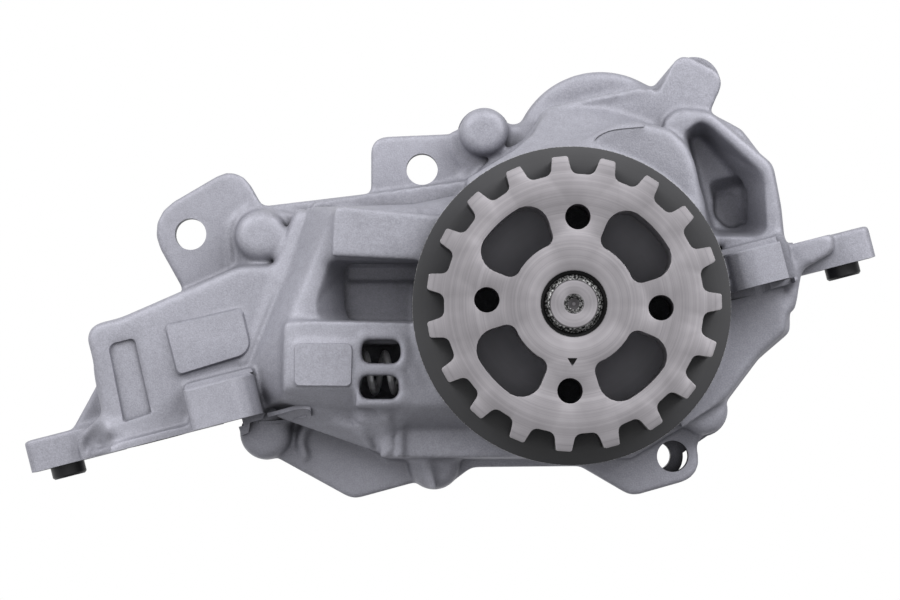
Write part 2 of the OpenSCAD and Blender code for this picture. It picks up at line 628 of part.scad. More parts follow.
module ring_seal() {
    color([0.2, 0.17, 0.15]) pump_axes() prism(set_y0, set_y1)
        seal_slot(seal_tip_r - seal_len, seal_tip_r, seal_w - 2 * seat_gap);
}
module seal_backing() {
    color([0.09, 0.09, 0.1]) pump_axes() prism(set_y0, set_y1)
        seal_slot(seal_tip_r - seal_len - seal_back + seat_gap,
            seal_tip_r - seal_len - seat_gap, seal_w - 2 * seat_gap);
}

spring_at = [spring_end + 2 * seat_rim_t, spring_up];
spring_len = arm_face - spring_at[0] - 2 * seat_gap;
module control_spring() {
    color([0.75, 0.75, 0.77]) pump_axes()
        translate([spring_at[0] + seat_gap, spring_y, spring_at[1]])
            coil(spring_r - spring_wire / 2, spring_len, spring_turns, spring_wire);
}
module spring_seat() {
    color([0.6, 0.6, 0.63]) pump_axes()
        translate([spring_end, spring_y, spring_up]) rotate([0, 90, 0]) rotate_extrude()
            polygon([[1.6, 0], [spring_r + 0.6, 0], [spring_r + 0.6, 2 * seat_rim_t - 1],
                [spring_r - spring_wire - 0.3, 2 * seat_rim_t - 1],
                [spring_r - spring_wire - 0.3, 4 * seat_rim_t], [1.6, 4 * seat_rim_t]]);
}

module bush(y0, y1) {
    difference() {
        rod([0, 0], bush_r, y0, y1);
        rod([0, 0], shaft_r + run_gap, y0 - 1, y1 + 1);
    }
}
module front_bush() {
    color([0.72, 0.55, 0.35]) bush(boss_y + 0.4, chamber_y);
}
module rear_bush() {
    color([0.72, 0.55, 0.35]) bush(joint_y, joint_y + cover_t - 0.6);
}

// Shape of the hollow for the rotor, the control ring and its arm
module chamber_shape() {
    translate([eccentricity / 2, 0]) circle(r = chamber_r, $fn = 120);
    translate(pivot_at) circle(r = eye_r + 0.5);
    translate([pivot_at[0] - eye_r - 0.5, 20]) square([2 * eye_r + 1, pivot_at[1] - 20]);
    intersection() {
        polygon([[-12, seal_at[1] - 4.8], [arm_face - 2, seal_at[1] - 4.8],
            [arm_face - 5, spring_up - spring_r - 1],
            [arm_face - 5, spring_up + spring_r + 3], [-22, -3]]);
        translate(pivot_at) circle(r = swing_r, $fn = 180);
    }
}

// Blind boss for a screw with a rounded end, from its front end past the joint face
module knob(at, y_front, r) {
    edge = 2;
    turned_y(at, concat(
        [[0, y_front]],
        [for (i = [0:4]) [r - 0.3 - edge + edge * sin(22.5 * i),
            y_front + edge * (1 - cos(22.5 * i))]],
        [[r, past_y], [0, past_y]]));
}

module foot(x0, x1) {
    post_r = 1.4;
    half = 8;
    translate([0, dowel_y, mount_z]) linear_extrude(height = foot_h) polygon(rounded([
        [x0, -half, post_r], [x1, -half, post_r], [x1, half, post_r], [x0, half, post_r]]));
}

// The casting, flat at its joint face, with its two feet
module housing_solid() {
    difference() {
        cast_body();
        rod([0, 0], beyond, joint_y, past_y + 1);
    }
    foot(dowel_x[0] - foot_over[0], arm_end_x + 2);
    translate([0, dowel_y, mount_z]) linear_extrude(height = foot_h - 0.8)
        polygon(rounded(foot_fillet));
    foot(dowel_x[1] - 10.6, dowel_x[1] + foot_over[1]);
}
module cast_body() {
    pump_axes() {
        for (s = pump_steps) prism(s[0], past_y) polygon(rounded(s[1]));
        rod(dome_at, dome_r, joint_y - rear_flange_t + 1.5, past_y);
        rod([0, 0], drum_r, drum_y, past_y);
        rod([0, 0], boss_r, boss_y, past_y);
        rod(cover_pins[1], pin_boss_r, joint_y - rear_flange_t - 1.5, past_y);
        for (i = [0:2]) knob(knobs[i], knob_y, knob_r + knob_over[i]);
        // column under the left knob, down into the outlet arm
        translate([knobs[0][0], body_y + 5.8, 3]) cylinder(r = knob_r, h = knobs[0][1] - 3);
        for (r = ribs)
            translate([r[0], behind + 11.5, -29.8]) cylinder(r = r[1], h = 11);
        for (p = low_bosses) knob(p, knob_y + 2, knob_r + 0.3);
        skirt();
        shoulder();
        underside();
        lower_web();
        // raised pad and window rims on the window block
        prism(block_y - pad_t, block_y) polygon(rounded(window_pad));
        prism(block_y - pad_t / 2, block_y) union() {
            for (w = windows) soft_rect(w, window_w + 2.6, window_h + 2.8, 2.2);
        }
    }
    for (s = mount_steps) prism(s[0], past_y) polygon(rounded(s[1]));
    prism(arm_y - pad_t, arm_y) polygon(rounded(arm_pad));
    for (i = [0, 1]) {
        translate([lug_x[i], lug_y, mount_z]) linear_extrude(height = lug_tops[i])
            lug_shape(i == 0 ? 1 : -1);
    }
}
// A lug seen from above: square on its outer side, round towards the pump
module lug_shape(inward) {
    back = arm_y - lug_y + 2;
    polygon(rounded([
        [-inward * (lug_r + 0.4), back, 0], [-inward * (lug_r + 0.4), -lug_r, 0.8],
        [inward * lug_r, -lug_r, lug_r - 0.8], [inward * lug_r, back, 0]]));
}

// Cone from the chamber wall out to the body's upper edge
module skirt() {
    spread = 10.3;
    intersection() {
        translate([0, drum_y + 1.5, 0]) rotate([-90, 0, 0])
            cylinder(r1 = drum_r, r2 = drum_r + spread, h = body_y - drum_y);
        prism(drum_y, body_y + 1) polygon(rounded(skirt_outline));
    }
}
// Sloping wall from the outlet arm up to the blocks
module shoulder() {
    top_y = behind + 6.5;
    hull() {
        prism(top_y, top_y + 0.2) polygon(shoulder_top);
        prism(arm_y + 1, arm_y + 1.2) polygon(shoulder_foot);
    }
}
// Slope under the window block, down to the ledge
module underside() {
    hull() {
        prism(block_y + 0.5, block_y + 0.7) polygon(underside_top);
        prism(behind + 11.5, behind + 11.7) polygon(underside_foot);
    }
}
// Sloping web from the window block down to the lower edge of the body
module lower_web() {
    hull() {
        prism(behind + 8.5, behind + 8.7) polygon(web_top);
        prism(arm_y, arm_y + 0.2) polygon(web_foot);
    }
}

module relief_bore(r, x0, x1) {
    translate([x0, relief_y, relief_z]) rotate([0, 90, 0]) cylinder(r = r, h = x1 - x0);
}

module housing() {
    color([0.62, 0.62, 0.66]) difference() {
        housing_solid();
        pump_axes() {
            prism(chamber_y, past_y) chamber_shape();
            // spring pocket behind its two windows
            prism(block_y + window_wall, past_y) polygon([
                [spring_end - seat_gap, spring_up - spring_pocket],
                [arm_face, spring_up - spring_pocket],
                [arm_face, spring_up + spring_pocket],
                [spring_end - seat_gap, spring_up + spring_pocket]]);
            prism(block_y - 2, block_y + window_wall + 1)
                for (w = windows) soft_rect(w, window_w, window_h, 1.4);
            hull() {
                prism(block_y - 0.5, block_y) polygon(rounded(recess_mouth));
                prism(recess_y - 0.5, recess_y) polygon(rounded(recess_floor));
            }
            // recess in the right shoulder, with its deeper lower part
            hull() {
                prism(rim_y - 0.5, rim_y) polygon(rounded(pocket_mouth));
                prism(pocket_y - 0.5, pocket_y) polygon(rounded(pocket_floor));
            }
            prism(pocket_y - 1, joint_y - 2.6) polygon(rounded(pocket_low));
            for (p = ear_holes) rod(p, ear_hole_r, joint_y - rear_flange_t - 1, past_y);
            for (i = [0:len(screws) - 1])
                rod(screws[i], screw_r + seat_gap, hole_front(i), past_y);
            for (p = cover_pins) rod(p, cover_pin_r, joint_y - cover_pin_in[0], past_y);
            rod(pivot_at, pivot_r + seat_gap, chamber_y - 2.5, past_y);
        }
        rod([0, 0], bush_r + seat_gap, boss_y - 1, chamber_y + 1);
        // outlet channel in the joint face, under the relief valve, and its port
        prism(joint_y - channel_depth, past_y) polygon(rounded(channel_outline));
        post(outlet_x, outlet_y, outlet_r, mount_z - 1, channel_z);
        post(outlet_x, outlet_y, outlet_r - 0.3, mount_z, channel_z + 4);
        difference() {
            post(outlet_x, outlet_y, outlet_r + 2.2, mount_z - 1, mount_z + 1.3);
            post(outlet_x, outlet_y, outlet_r + 0.8, mount_z - 2, mount_z + 2);
        }
        // relief valve bore, its seat and its vent
        relief_bore(relief_r, plug_x - 15, relief_seat_x);
        relief_bore(plug_r + seat_gap, plug_x - 15, plug_x + plug_len);
        relief_bore(relief_r - 1.2, relief_seat_x - 1, relief_seat_x + 15);
        post(relief_seat_x - piston_len - 5, relief_y, 2, relief_z, relief_z + 20);
        prism(arm_y - 1, arm_y + 0.7) polygon(rounded(arm_sunk_pad));
        prism(lug_y - lug_r - 1, body_y + 2) polygon(rounded(lug_slot));
        for (i = [0, 1]) {
            post(lug_x[i], lug_y, mount_hole_r, mount_z - 1, mount_z + lug_tops[i] + 1);
            post(dowel_x[i], dowel_y, dowel_r + dowel_step + seat_gap, mount_z - 1,
                mount_z + dowel_len - dowel_out + seat_gap);
        }
    }
}

module relief_piston() {
    wall = 1;
    color([0.7, 0.7, 0.72])
        translate([relief_seat_x - seat_gap, relief_y, relief_z]) rotate([0, -90, 0])
            rotate_extrude() polygon([[0, 0], [relief_r - run_gap, 0],
                [relief_r - run_gap, piston_len], [relief_r - run_gap - wall, piston_len],
                [relief_r - run_gap - wall, 2.4], [0, 2.4]]);
}
module relief_spring() {
    x0 = plug_x + plug_len + seat_gap;
    color([0.75, 0.75, 0.77]) translate([x0, relief_y, relief_z])
        coil(relief_coil_r, relief_seat_x - 2.4 - 2 * seat_gap - x0, 8, relief_wire, 12, 6);
}
module relief_plug() {
    color([0.35, 0.35, 0.37]) difference() {
        translate([plug_x, relief_y, relief_z]) rotate([0, 90, 0])
            cylinder(r = plug_r, h = plug_len);
        translate([plug_x - 1, relief_y, relief_z]) rotate([0, 90, 0])
            cylinder(d = 5 / cos(30), h = 4, $fn = 6);
    }
}

module cover() {
    y1 = joint_y + cover_t;
    stub_y = y1 + inlet_stub;
    ear_w = inlet_ears / 2 + 5.5;
    ear_h = 4.5;
    color([0.6, 0.6, 0.64]) difference() {
        union() {
            pump_axes() {
                prism(joint_y, y1) polygon(rounded(cover_outline));
                for (p = screws) rod(p, knob_r + 0.2, joint_y, y1 + seat_t);
                rod(cover_ear_hole, 5.2, joint_y, y1);
                rod([0, 0], bush_r + bush_boss_wall, joint_y, y1 + 2);
                rod(inlet_at, inlet_r + inlet_stub_wall, joint_y, stub_y);
                prism(joint_y, stub_y - 2) translate(inlet_at) polygon(rounded([
                    [-ear_w, -ear_h, 4], [ear_w, -ear_h, 4], [ear_w, ear_h, 4],
                    [-ear_w, ear_h, 4]]));
            }
            prism(joint_y, y1) polygon(rounded(cover_arm_outline));
        }
        pump_axes() {
            rod(inlet_at, inlet_r, joint_y - 1, stub_y + 1);
            for (s = [-1, 1])
                rod(inlet_at + [s * inlet_ears / 2, 0], 2.5, y1 + 1, stub_y);
            difference() {
                rod(inlet_at, inlet_r + 2.9, stub_y - 1.2, stub_y + 1);
                rod(inlet_at, inlet_r + 1, stub_y - 2, stub_y + 2);
            }
            for (p = screws) rod(p, screw_r + 0.2, joint_y - 1, y1 + seat_t + 1);
            rod(cover_ear_hole, ear_hole_r - 0.4, joint_y - 1, y1 + 1);
            // pressure port over the rotor, leading to the outlet channel
            prism(joint_y - 1, joint_y + pressure_port_depth) polygon(rounded(pressure_port));
            for (p = cover_pins) rod(p, cover_pin_r, joint_y - 1, joint_y + cover_pin_in[1]);
            rod(pivot_at, pivot_r + seat_gap, joint_y - 1, joint_y + 2.5);
        }
        rod([0, 0], bush_r + seat_gap, joint_y - 1, joint_y + cover_t - 0.6);
        rod([0, 0], shaft_r + run_gap, joint_y, shaft_end + 0.6);
    }
}

module cover_screws() {
    y1 = joint_y + cover_t + seat_t;
    color([0.3, 0.3, 0.32]) pump_axes() for (i = [0:len(screws) - 1]) {
        rod(screws[i], screw_r, hole_front(i) + 0.6, y1 + 0.5);
        rod(screws[i], knob_r, y1, y1 + 1.2);
        translate([screws[i][0], y1, screws[i][1]]) rotate([-90, 0, 0])
            cylinder(d = screw_flats / cos(30), h = screw_head_h, $fn = 6);
    }
}
module cover_dowels() {
    color([0.7, 0.7, 0.72]) pump_axes()
        for (p = cover_pins)
            rod(p, cover_pin_r - seat_gap, joint_y - cover_pin_in[0], joint_y + cover_pin_in[1]);
}
module mounting_dowels() {
    color([0.13, 0.13, 0.14]) for (x = dowel_x)
        translate([x, dowel_y, mount_z - dowel_out]) rotate_extrude() polygon([
            [0, 0], [dowel_r - 0.4, 0], [dowel_r, 0.4], [dowel_r, dowel_out],
            [dowel_r + dowel_step, dowel_out], [dowel_r + dowel_step, dowel_len],
            [0, dowel_len]]);
}
module seal_ring(r, thick) {
    rotate_extrude() translate([r, 0]) circle(r = thick / 2, $fn = 20);
}
module outlet_seal() {
    color([0.08, 0.08, 0.09]) translate([outlet_x, outlet_y, mount_z + 0.6])
        seal_ring(outlet_r + 1.5, 1.35);
}
module inlet_seal() {
    color([0.08, 0.08, 0.09]) pump_axes()
        translate([inlet_at[0], joint_y + cover_t + inlet_stub - 0.5, inlet_at[1]])
            rotate([90, 0, 0]) seal_ring(inlet_r + 1.95, 1.4);
}

pulley();
pulley_flange();
drive_shaft();
rotor();
vanes();
front_vane_ring();
rear_vane_ring();
control_ring();
pivot_pin();
ring_seal();
seal_backing();
control_spring();
spring_seat();
front_bush();
rear_bush();
housing();
cover();
cover_screws();
cover_dowels();
mounting_dowels();
relief_piston();
relief_spring();
relief_plug();
outlet_seal();
inlet_seal();
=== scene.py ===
"""Looks of the engine oil pump: die-cast housing, cover, drive pulley, small parts, camera and light.

Run as a script it registers its settings, operators and panel, then builds every piece.
"""

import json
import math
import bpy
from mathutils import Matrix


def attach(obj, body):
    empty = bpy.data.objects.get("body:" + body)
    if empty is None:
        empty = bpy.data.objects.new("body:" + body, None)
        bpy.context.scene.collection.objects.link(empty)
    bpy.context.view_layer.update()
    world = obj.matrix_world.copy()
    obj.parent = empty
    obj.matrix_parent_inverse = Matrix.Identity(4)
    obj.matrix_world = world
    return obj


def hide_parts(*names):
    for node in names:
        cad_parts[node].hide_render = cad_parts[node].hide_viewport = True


bl_info = {
    "name": "Engine oil pump",
    "version": (1, 0, 0),
    "blender": (4, 5, 0),
    "location": "View3D > Sidebar > Oil pump",
    "description": "Builds the pump's visible pieces and its photo set-up",
    "category": "Object",
}

import bmesh
import bpy
import numpy
from bpy.props import FloatProperty, FloatVectorProperty, IntProperty, PointerProperty
from mathutils import Matrix, Vector
from mathutils.bvhtree import BVHTree

MM = 0.001
Y_AXIS = (0.0, 1.0, 0.0)
Z_AXIS = (0.0, 0.0, 1.0)
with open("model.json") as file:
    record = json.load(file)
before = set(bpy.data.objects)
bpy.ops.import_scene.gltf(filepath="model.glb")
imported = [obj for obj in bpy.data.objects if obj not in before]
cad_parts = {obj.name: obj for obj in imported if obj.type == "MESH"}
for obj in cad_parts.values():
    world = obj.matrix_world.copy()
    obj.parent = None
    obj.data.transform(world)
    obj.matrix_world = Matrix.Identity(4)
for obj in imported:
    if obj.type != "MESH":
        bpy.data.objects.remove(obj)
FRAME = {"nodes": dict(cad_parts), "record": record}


def mount_named(name):
    """Place, radius and sizes of one of the record's mounts, in millimetres."""
    found = next(m for m in FRAME["record"]["mounts"] if m["name"] == name)
    dims = found["dims"]
    return [c / MM for c in found["pos_m"]], dims.get("r_mm", dims.get("hole_r_mm")), dims


def tilt():
    """Turn of the pump's own axes against its mounting face, from the inlet's two screws, to 0.1 degree."""
    left, right = (mount_named(name)[0] for name in ("inlet_screw_left", "inlet_screw_right"))
    return math.radians(round(math.degrees(math.atan2(left[2] - right[2], right[0] - left[0])), 1))


TILT = tilt()
# Depth of the face where the cover meets the housing
JOINT_Y = min(vert.co.y for vert in FRAME["nodes"]["cover"].data.vertices) / MM
# Metal that machining takes off a face
ALLOWANCE = 1.2
# Radius of a lug's rounded end
LUG_RADIUS = 6.8
# How far cutters reach past the metal
PAST = 3.0
# Angle from which an edge is broken, and the distance at which a CAD mesh's seams close
EDGE_ANGLE = 25.0
SEAM = 1e-7


def pump(u, y, v):
    """Point in the row frame from the pump's own axes, all in millimetres."""
    x = u * math.cos(TILT) + v * math.sin(TILT)
    z = -u * math.sin(TILT) + v * math.cos(TILT)
    return Vector((x, y, z)) * MM


def mount(x, y, z):
    """Point in the row frame from millimetres."""
    return Vector((x, y, z)) * MM


# Settings


class OilPumpCasting(bpy.types.PropertyGroup):
    """Sizes and colours of the cast housing and cover."""

    voxel: FloatProperty(
        name="Voxel", description="Cell size of the casting's skin", default=0.00042, unit="LENGTH"
    )
    rounds: IntProperty(name="Smoothing", description="Smoothing passes over the casting", default=8)
    soft_rounds: IntProperty(name="Soft edges", description="Passes over widely rounded edges", default=60)
    triangles: IntProperty(name="Triangles", description="Triangles kept in the casting", default=180000)
    colour: FloatVectorProperty(
        name="Colour",
        description="Base colour of the cast aluminium",
        subtype="COLOR",
        default=(0.36, 0.36, 0.41),
    )
    roughness: FloatProperty(name="Roughness", description="Roughness of the cast skin", default=0.56)
    grain: FloatProperty(name="Grain", description="Strength of the cast grain", default=0.3)
    speckle: FloatProperty(name="Speckle", description="Contrast of the fine specks", default=0.8)
    bevel: FloatProperty(
        name="Bevel", description="Width of the cover's broken edges", default=0.0004, unit="LENGTH"
    )


class OilPumpSteel(bpy.types.PropertyGroup):
    """Colours of the pulley, shaft and small steel parts."""

    face: FloatVectorProperty(
        name="Face", description="Turned pulley face", subtype="COLOR", default=(0.325, 0.31, 0.33)
    )
    flange: FloatVectorProperty(
        name="Flange", description="Black belt flange", subtype="COLOR", default=(0.036, 0.036, 0.04)
    )
    dowel: FloatVectorProperty(
        name="Dowel", description="Dark dowel pins", subtype="COLOR", default=(0.02, 0.02, 0.022)
    )
    bevel: FloatProperty(
        name="Bevel", description="Width of the pulley's broken edges", default=0.0002, unit="LENGTH"
    )
    flange_bevel: FloatProperty(
        name="Flange bevel", description="Width of the flange's broken edges", default=0.00015, unit="LENGTH"
    )
    shaft_bevel: FloatProperty(
        name="Shaft bevel", description="Width of the shaft's broken edges", default=0.00005, unit="LENGTH"
    )


class OilPumpShot(bpy.types.PropertyGroup):
    """Camera and light of the photograph."""

    distance: FloatProperty(name="Distance", description="Camera to pulley face", default=0.97, unit="LENGTH")
    aside: FloatProperty(
        name="Aside", description="Camera to the left of the shaft", default=0.023808, unit="LENGTH"
    )
    raised: FloatProperty(
        name="Raised", description="Camera above the shaft, in its own view", default=0.00071, unit="LENGTH"
    )
    pitch: FloatProperty(
        name="Pitch", description="Upward tilt of the view", default=math.radians(1.3), subtype="ANGLE"
    )
    lens: FloatProperty(name="Lens", description="Focal length in millimetres", default=202.08)
    sensor: FloatProperty(name="Sensor", description="Width of the sensor in millimetres", default=36.0)
    world: FloatProperty(name="World", description="Strength of the surroundings", default=1.0)
    mirrored: FloatProperty(
        name="Mirrored", description="Share of the white backdrop that metal shows", default=0.25
    )
    sky: FloatProperty(name="Sky", description="Brightness from above", default=0.2)
    back: FloatProperty(name="Back", description="Brightness from behind the pump", default=0.75)
    left: FloatProperty(name="Left", description="Brightness from the left", default=0.75)
    front: FloatProperty(name="Front", description="Brightness from behind the camera", default=0.9)
    right: FloatProperty(name="Right", description="Brightness from the upper right", default=0.88)
    left_key: FloatProperty(name="Left lamp", description="Power of the left lamp in watts", default=1.75)
    right_key: FloatProperty(name="Right lamp", description="Power of the right lamp in watts", default=2.1)
    left_aside: FloatProperty(
        name="Left lamp aside", description="Left lamp from the shaft", default=0.35, unit="LENGTH"
    )
    right_aside: FloatProperty(
        name="Right lamp aside", description="Right lamp from the shaft", default=0.3, unit="LENGTH"
    )
    lamp_height: FloatProperty(
        name="Lamp height", description="Lamps above the shaft", default=0.33, unit="LENGTH"
    )
    lamp_front: FloatProperty(
        name="Lamp front", description="Lamps in front of the pulley face", default=0.3, unit="LENGTH"
    )
    lamp_size: FloatProperty(name="Lamp size", description="Side of each lamp", default=0.3, unit="LENGTH")


# Materials


def new_material(name):
    """An empty material with its shader."""
    mat = bpy.data.materials.new(name)
    mat.use_nodes = True
    mat.node_tree.nodes.clear()
    out = mat.node_tree.nodes.new("ShaderNodeOutputMaterial")
    shader = mat.node_tree.nodes.new("ShaderNodeBsdfPrincipled")
    mat.node_tree.links.new(shader.outputs["BSDF"], out.inputs["Surface"])
    return mat, shader


def node(tree, kind, **values):
    """A shader node with values for its sockets, or for its settings where no socket has that name."""
    made = tree.nodes.new(kind)
    for key, value in values.items():
        if key in made.inputs:
            made.inputs[key].default_value = value
        else:
            setattr(made, key, value)
    return made


def link(tree, a, b):
    """Joins an output to an input."""
    tree.links.new(a, b)


def ramp(tree, source, stops):
    """Colour by a value; each stop is a place and a colour of three numbers."""
    made = tree.nodes.new("ShaderNodeValToRGB")
    ramp_data = made.color_ramp
    while len(ramp_data.elements) < len(stops):
        ramp_data.elements.new(0.5)
    while len(ramp_data.elements) > len(stops):
        ramp_data.elements.remove(ramp_data.elements[-1])
    for element, (place, colour) in zip(ramp_data.elements, stops):
        element.position = place
        element.color = (*colour, 1.0)
    link(tree, source, made.inputs["Fac"])
    return made.outputs["Color"]


def calc(tree, operation, *values):
    """Math node fed by sockets or numbers."""
    made = node(tree, "ShaderNodeMath", operation=operation)
    for socket, value in zip(made.inputs, values):
        if isinstance(value, bpy.types.NodeSocket):
            link(tree, value, socket)
        else:
            socket.default_value = value
    return made.outputs[0]


def blend(tree, factor, low, high, kind="MIX"):
    """Mixes two colours, each a socket or three numbers."""
    made = node(tree, "ShaderNodeMix", data_type="RGBA", blend_type=kind)
    for name, value in (("Factor", factor), ("A", low), ("B", high)):
        if isinstance(value, bpy.types.NodeSocket):
            link(tree, value, made.inputs[name])
        elif isinstance(value, float):
            made.inputs[name].default_value = value
        else:
            made.inputs[name].default_value = (*value, 1.0)
    return made.outputs["Result"]


def noise(tree, coords, scale, detail=3.0, roughness=0.6):
    """Grey noise with so many cells to a metre."""
    made = node(tree, "ShaderNodeTexNoise", Scale=scale, Detail=detail, Roughness=roughness)
    link(tree, coords, made.inputs["Vector"])
    return made.outputs["Fac"]


def painted_crease_shade(tree, colour, reach, depth):
    """Paints shade into a colour in creases and recesses up to a given width."""
    shut = node(tree, "ShaderNodeAmbientOcclusion", samples=12, Distance=reach)
    return blend(tree, 1.0, colour, calc(tree, "POWER", shut.outputs["AO"], depth), "MULTIPLY")


def cast_material(settings, name="cast_aluminium", shade=1.0):
    """Die-cast aluminium: grained, faintly mottled, with shade painted into its creases."""
    mat, shader = new_material(name)
    tree = mat.node_tree
    coords = tree.nodes.new("ShaderNodeTexCoord").outputs["Object"]
    fine = noise(tree, coords, scale=3400.0, roughness=0.7)
    middle = noise(tree, coords, scale=700.0)
    broad = noise(tree, coords, scale=60.0, roughness=0.55)
    base = [c * shade for c in settings.colour]
    mottle = calc(tree, "MULTIPLY_ADD", middle, 0.6, broad)
    colour = ramp(tree, mottle, [(0.5, [c * 0.88 for c in base]), (1.1, [min(1.0, c * 1.1) for c in base])])
    speckle = ramp(tree, fine, [(0.3, (0.8,) * 3), (0.5, (1.0,) * 3), (0.72, (1.25,) * 3)])
    colour = blend(tree, settings.speckle, colour, blend(tree, 1.0, colour, speckle, "MULTIPLY"))
    # painted shade: colour darkened in creases and recesses, wide ones first, then fine ones
    crease_shaded_colour = painted_crease_shade(tree, colour, reach=0.014, depth=0.5)
    link(tree, painted_crease_shade(tree, crease_shaded_colour, reach=0.0022, depth=0.35), shader.inputs["Base Color"])
    shader.inputs["Metallic"].default_value = 0.35
    shader.inputs["Specular IOR Level"].default_value = 0.35
    rough = node(tree, "ShaderNodeMapRange")
    link(tree, fine, rough.inputs["Value"])
    rough.inputs["To Min"].default_value = settings.roughness - 0.14
    rough.inputs["To Max"].default_value = settings.roughness + 0.14
    link(tree, rough.outputs["Result"], shader.inputs["Roughness"])
    bump = node(tree, "ShaderNodeBump", Strength=settings.grain, Distance=0.0002)
    link(tree, calc(tree, "MULTIPLY_ADD", middle, 0.8, fine), bump.inputs["Height"])
    link(tree, bump.outputs["Normal"], shader.inputs["Normal"])
    return mat


def plain_material(name, colour, metallic, roughness):
    """One colour with a faint grain."""
    mat, shader = new_material(name)
    tree = mat.node_tree
    coords = tree.nodes.new("ShaderNodeTexCoord").outputs["Object"]
    shader.inputs["Base Color"].default_value = (*colour, 1.0)
    shader.inputs["Metallic"].default_value = metallic
    shader.inputs["Roughness"].default_value = roughness
    bump = node(tree, "ShaderNodeBump", Strength=0.1, Distance=0.0001)
    link(tree, noise(tree, coords, scale=900.0), bump.inputs["Height"])
    link(tree, bump.outputs["Normal"], shader.inputs["Normal"])
    return mat


def by_radius(tree, radius, stops):
    """Shade by the distance from the shaft axis; each stop is a radius in millimetres and a shade."""
    reach = 32.0
    scaled = calc(tree, "DIVIDE", radius, reach * MM)
    return ramp(tree, scaled, [(r / reach, (shade,) * 3) for r, shade in stops])


def turned_material(name, face, zones, wall_tones_and_shade, depth=1.0, metallic=0.8, ringed=0.5, glint=0.95):
    """Turned steel with rings round the shaft axis.

    Zones and wall tones are shades by radius, for the front face down to a depth and for all else; the
    near-black wall tones of pulley and shaft are painted shade.
    Broken edges get speckles, partly gritty chips and partly painted glints; a larger glint leaves the
    shallower ones plain.
    """
    mat, shader = new_material(name)
    tree = mat.node_tree
    texture = tree.nodes.new("ShaderNodeTexCoord")
    coords = texture.outputs["Object"]
    split = tree.nodes.new("ShaderNodeSeparateXYZ")
    link(tree, coords, split.inputs[0])
    squares = [calc(tree, "MULTIPLY", split.outputs[axis], split.outputs[axis]) for axis in ("X", "Z")]
    radius = calc(tree, "SQRT", calc(tree, "ADD", *squares))
    spread = tree.nodes.new("ShaderNodeCombineXYZ")
    link(tree, radius, spread.inputs["X"])
    fine = noise(tree, spread.outputs[0], scale=5200.0, roughness=0.8)
    broad = noise(tree, spread.outputs[0], scale=1000.0, detail=2.0)
    smudge = noise(tree, coords, scale=70.0)
    patchy = calc(tree, "MULTIPLY", smudge, 1.8)
    rings = calc(tree, "MULTIPLY", calc(tree, "SUBTRACT", fine, 0.5), patchy)
    worn = calc(tree, "MULTIPLY_ADD", calc(tree, "SUBTRACT", broad, 0.5), 0.8, rings)
    worn = calc(tree, "MULTIPLY_ADD", worn, ringed, calc(tree, "MULTIPLY_ADD", smudge, 0.5, 0.25))
    tone = ramp(tree, worn, [(0.2, [c * 0.55 for c in face]), (0.8, [min(1.0, c * 1.45) for c in face])])
    front_colour = blend(tree, 1.0, tone, by_radius(tree, radius, zones), "MULTIPLY")
    facing = tree.nodes.new("ShaderNodeSeparateXYZ")
    link(tree, texture.outputs["Normal"], facing.inputs[0])
    square = calc(tree, "ABSOLUTE", facing.outputs["Y"])
    near = calc(tree, "LESS_THAN", split.outputs["Y"], depth)
    front = calc(tree, "MULTIPLY", calc(tree, "GREATER_THAN", square, 0.2), near)
    specks = noise(tree, coords, scale=2600.0, detail=2.0)
    # painted glints with gritty chips: broken edges speckled from dark to bright
    grit_and_glints = ramp(tree, specks, [(0.42, (0.015,) * 3), (0.5, (0.2,) * 3), (0.62, (0.75,) * 3)])
    broken = calc(tree, "LESS_THAN", calc(tree, "MULTIPLY", square, glint), 0.9)
    edge = calc(tree, "MULTIPLY", broken, near)
    # sides, and faces deeper than the front, take the wall tones; for pulley and shaft these are painted shade
    wall = blend(tree, 1.0, by_radius(tree, radius, wall_tones_and_shade), [1.0, 0.97, 1.02], "MULTIPLY")
    colour = blend(tree, front, wall, blend(tree, edge, front_colour, grit_and_glints))
    link(tree, colour, shader.inputs["Base Color"])
    shader.inputs["Metallic"].default_value = metallic
    shader.inputs["Anisotropic"].default_value = 0.55
    tangent = node(tree, "ShaderNodeTangent", direction_type="RADIAL", axis="Y")
    link(tree, tangent.outputs[0], shader.inputs["Tangent"])
    rough = node(tree, "ShaderNodeMapRange")
    link(tree, fine, rough.inputs["Value"])
    rough.inputs["To Min"].default_value = 0.36
    rough.inputs["To Max"].default_value = 0.58
    link(tree, rough.outputs["Result"], shader.inputs["Roughness"])
    bump = node(tree, "ShaderNodeBump", Strength=0.12, Distance=0.0001)
    link(tree, fine, bump.inputs["Height"])
    link(tree, bump.outputs["Normal"], shader.inputs["Normal"])
    return mat


# Mesh tools


def merged_copy(source):
    """A closed copy of a CAD node's mesh, with the seams between its faces joined."""
    bm = bmesh.new()
    bm.from_mesh(FRAME["nodes"][source].data)
    bmesh.ops.remove_doubles(bm, verts=bm.verts, dist=SEAM)
    bmesh.ops.dissolve_degenerate(bm, edges=bm.edges, dist=SEAM)
    return bm


def place(obj, name, body, replaced, slot, material, angle=35.0):
    """Finishes an object that rides on a body and stands for one of its CAD nodes."""
    obj.name = name
    mesh = obj.data
    mesh.name = name
    mesh.materials.clear()
    mesh.materials.append(material)
    mesh.shade_smooth()
    mesh.set_sharp_from_angle(angle=math.radians(angle))
    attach(obj, body)
    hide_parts(replaced)
    return obj


def add_round(bm, centre, axis, radius, low, high, segments=48):
    """Cylinder along an axis, from low to high millimetres past its centre."""
    turn = Vector(axis).to_track_quat("Z", "Y").to_matrix().to_4x4()
    shift = Matrix.Translation(Vector(centre) + Vector(axis) * (low + high) / 2 * MM)
    bmesh.ops.create_cone(
        bm,
        cap_ends=True,
        segments=segments,
        radius1=radius * MM,
        radius2=radius * MM,
        depth=(high - low) * MM,
        matrix=shift @ turn,
    )


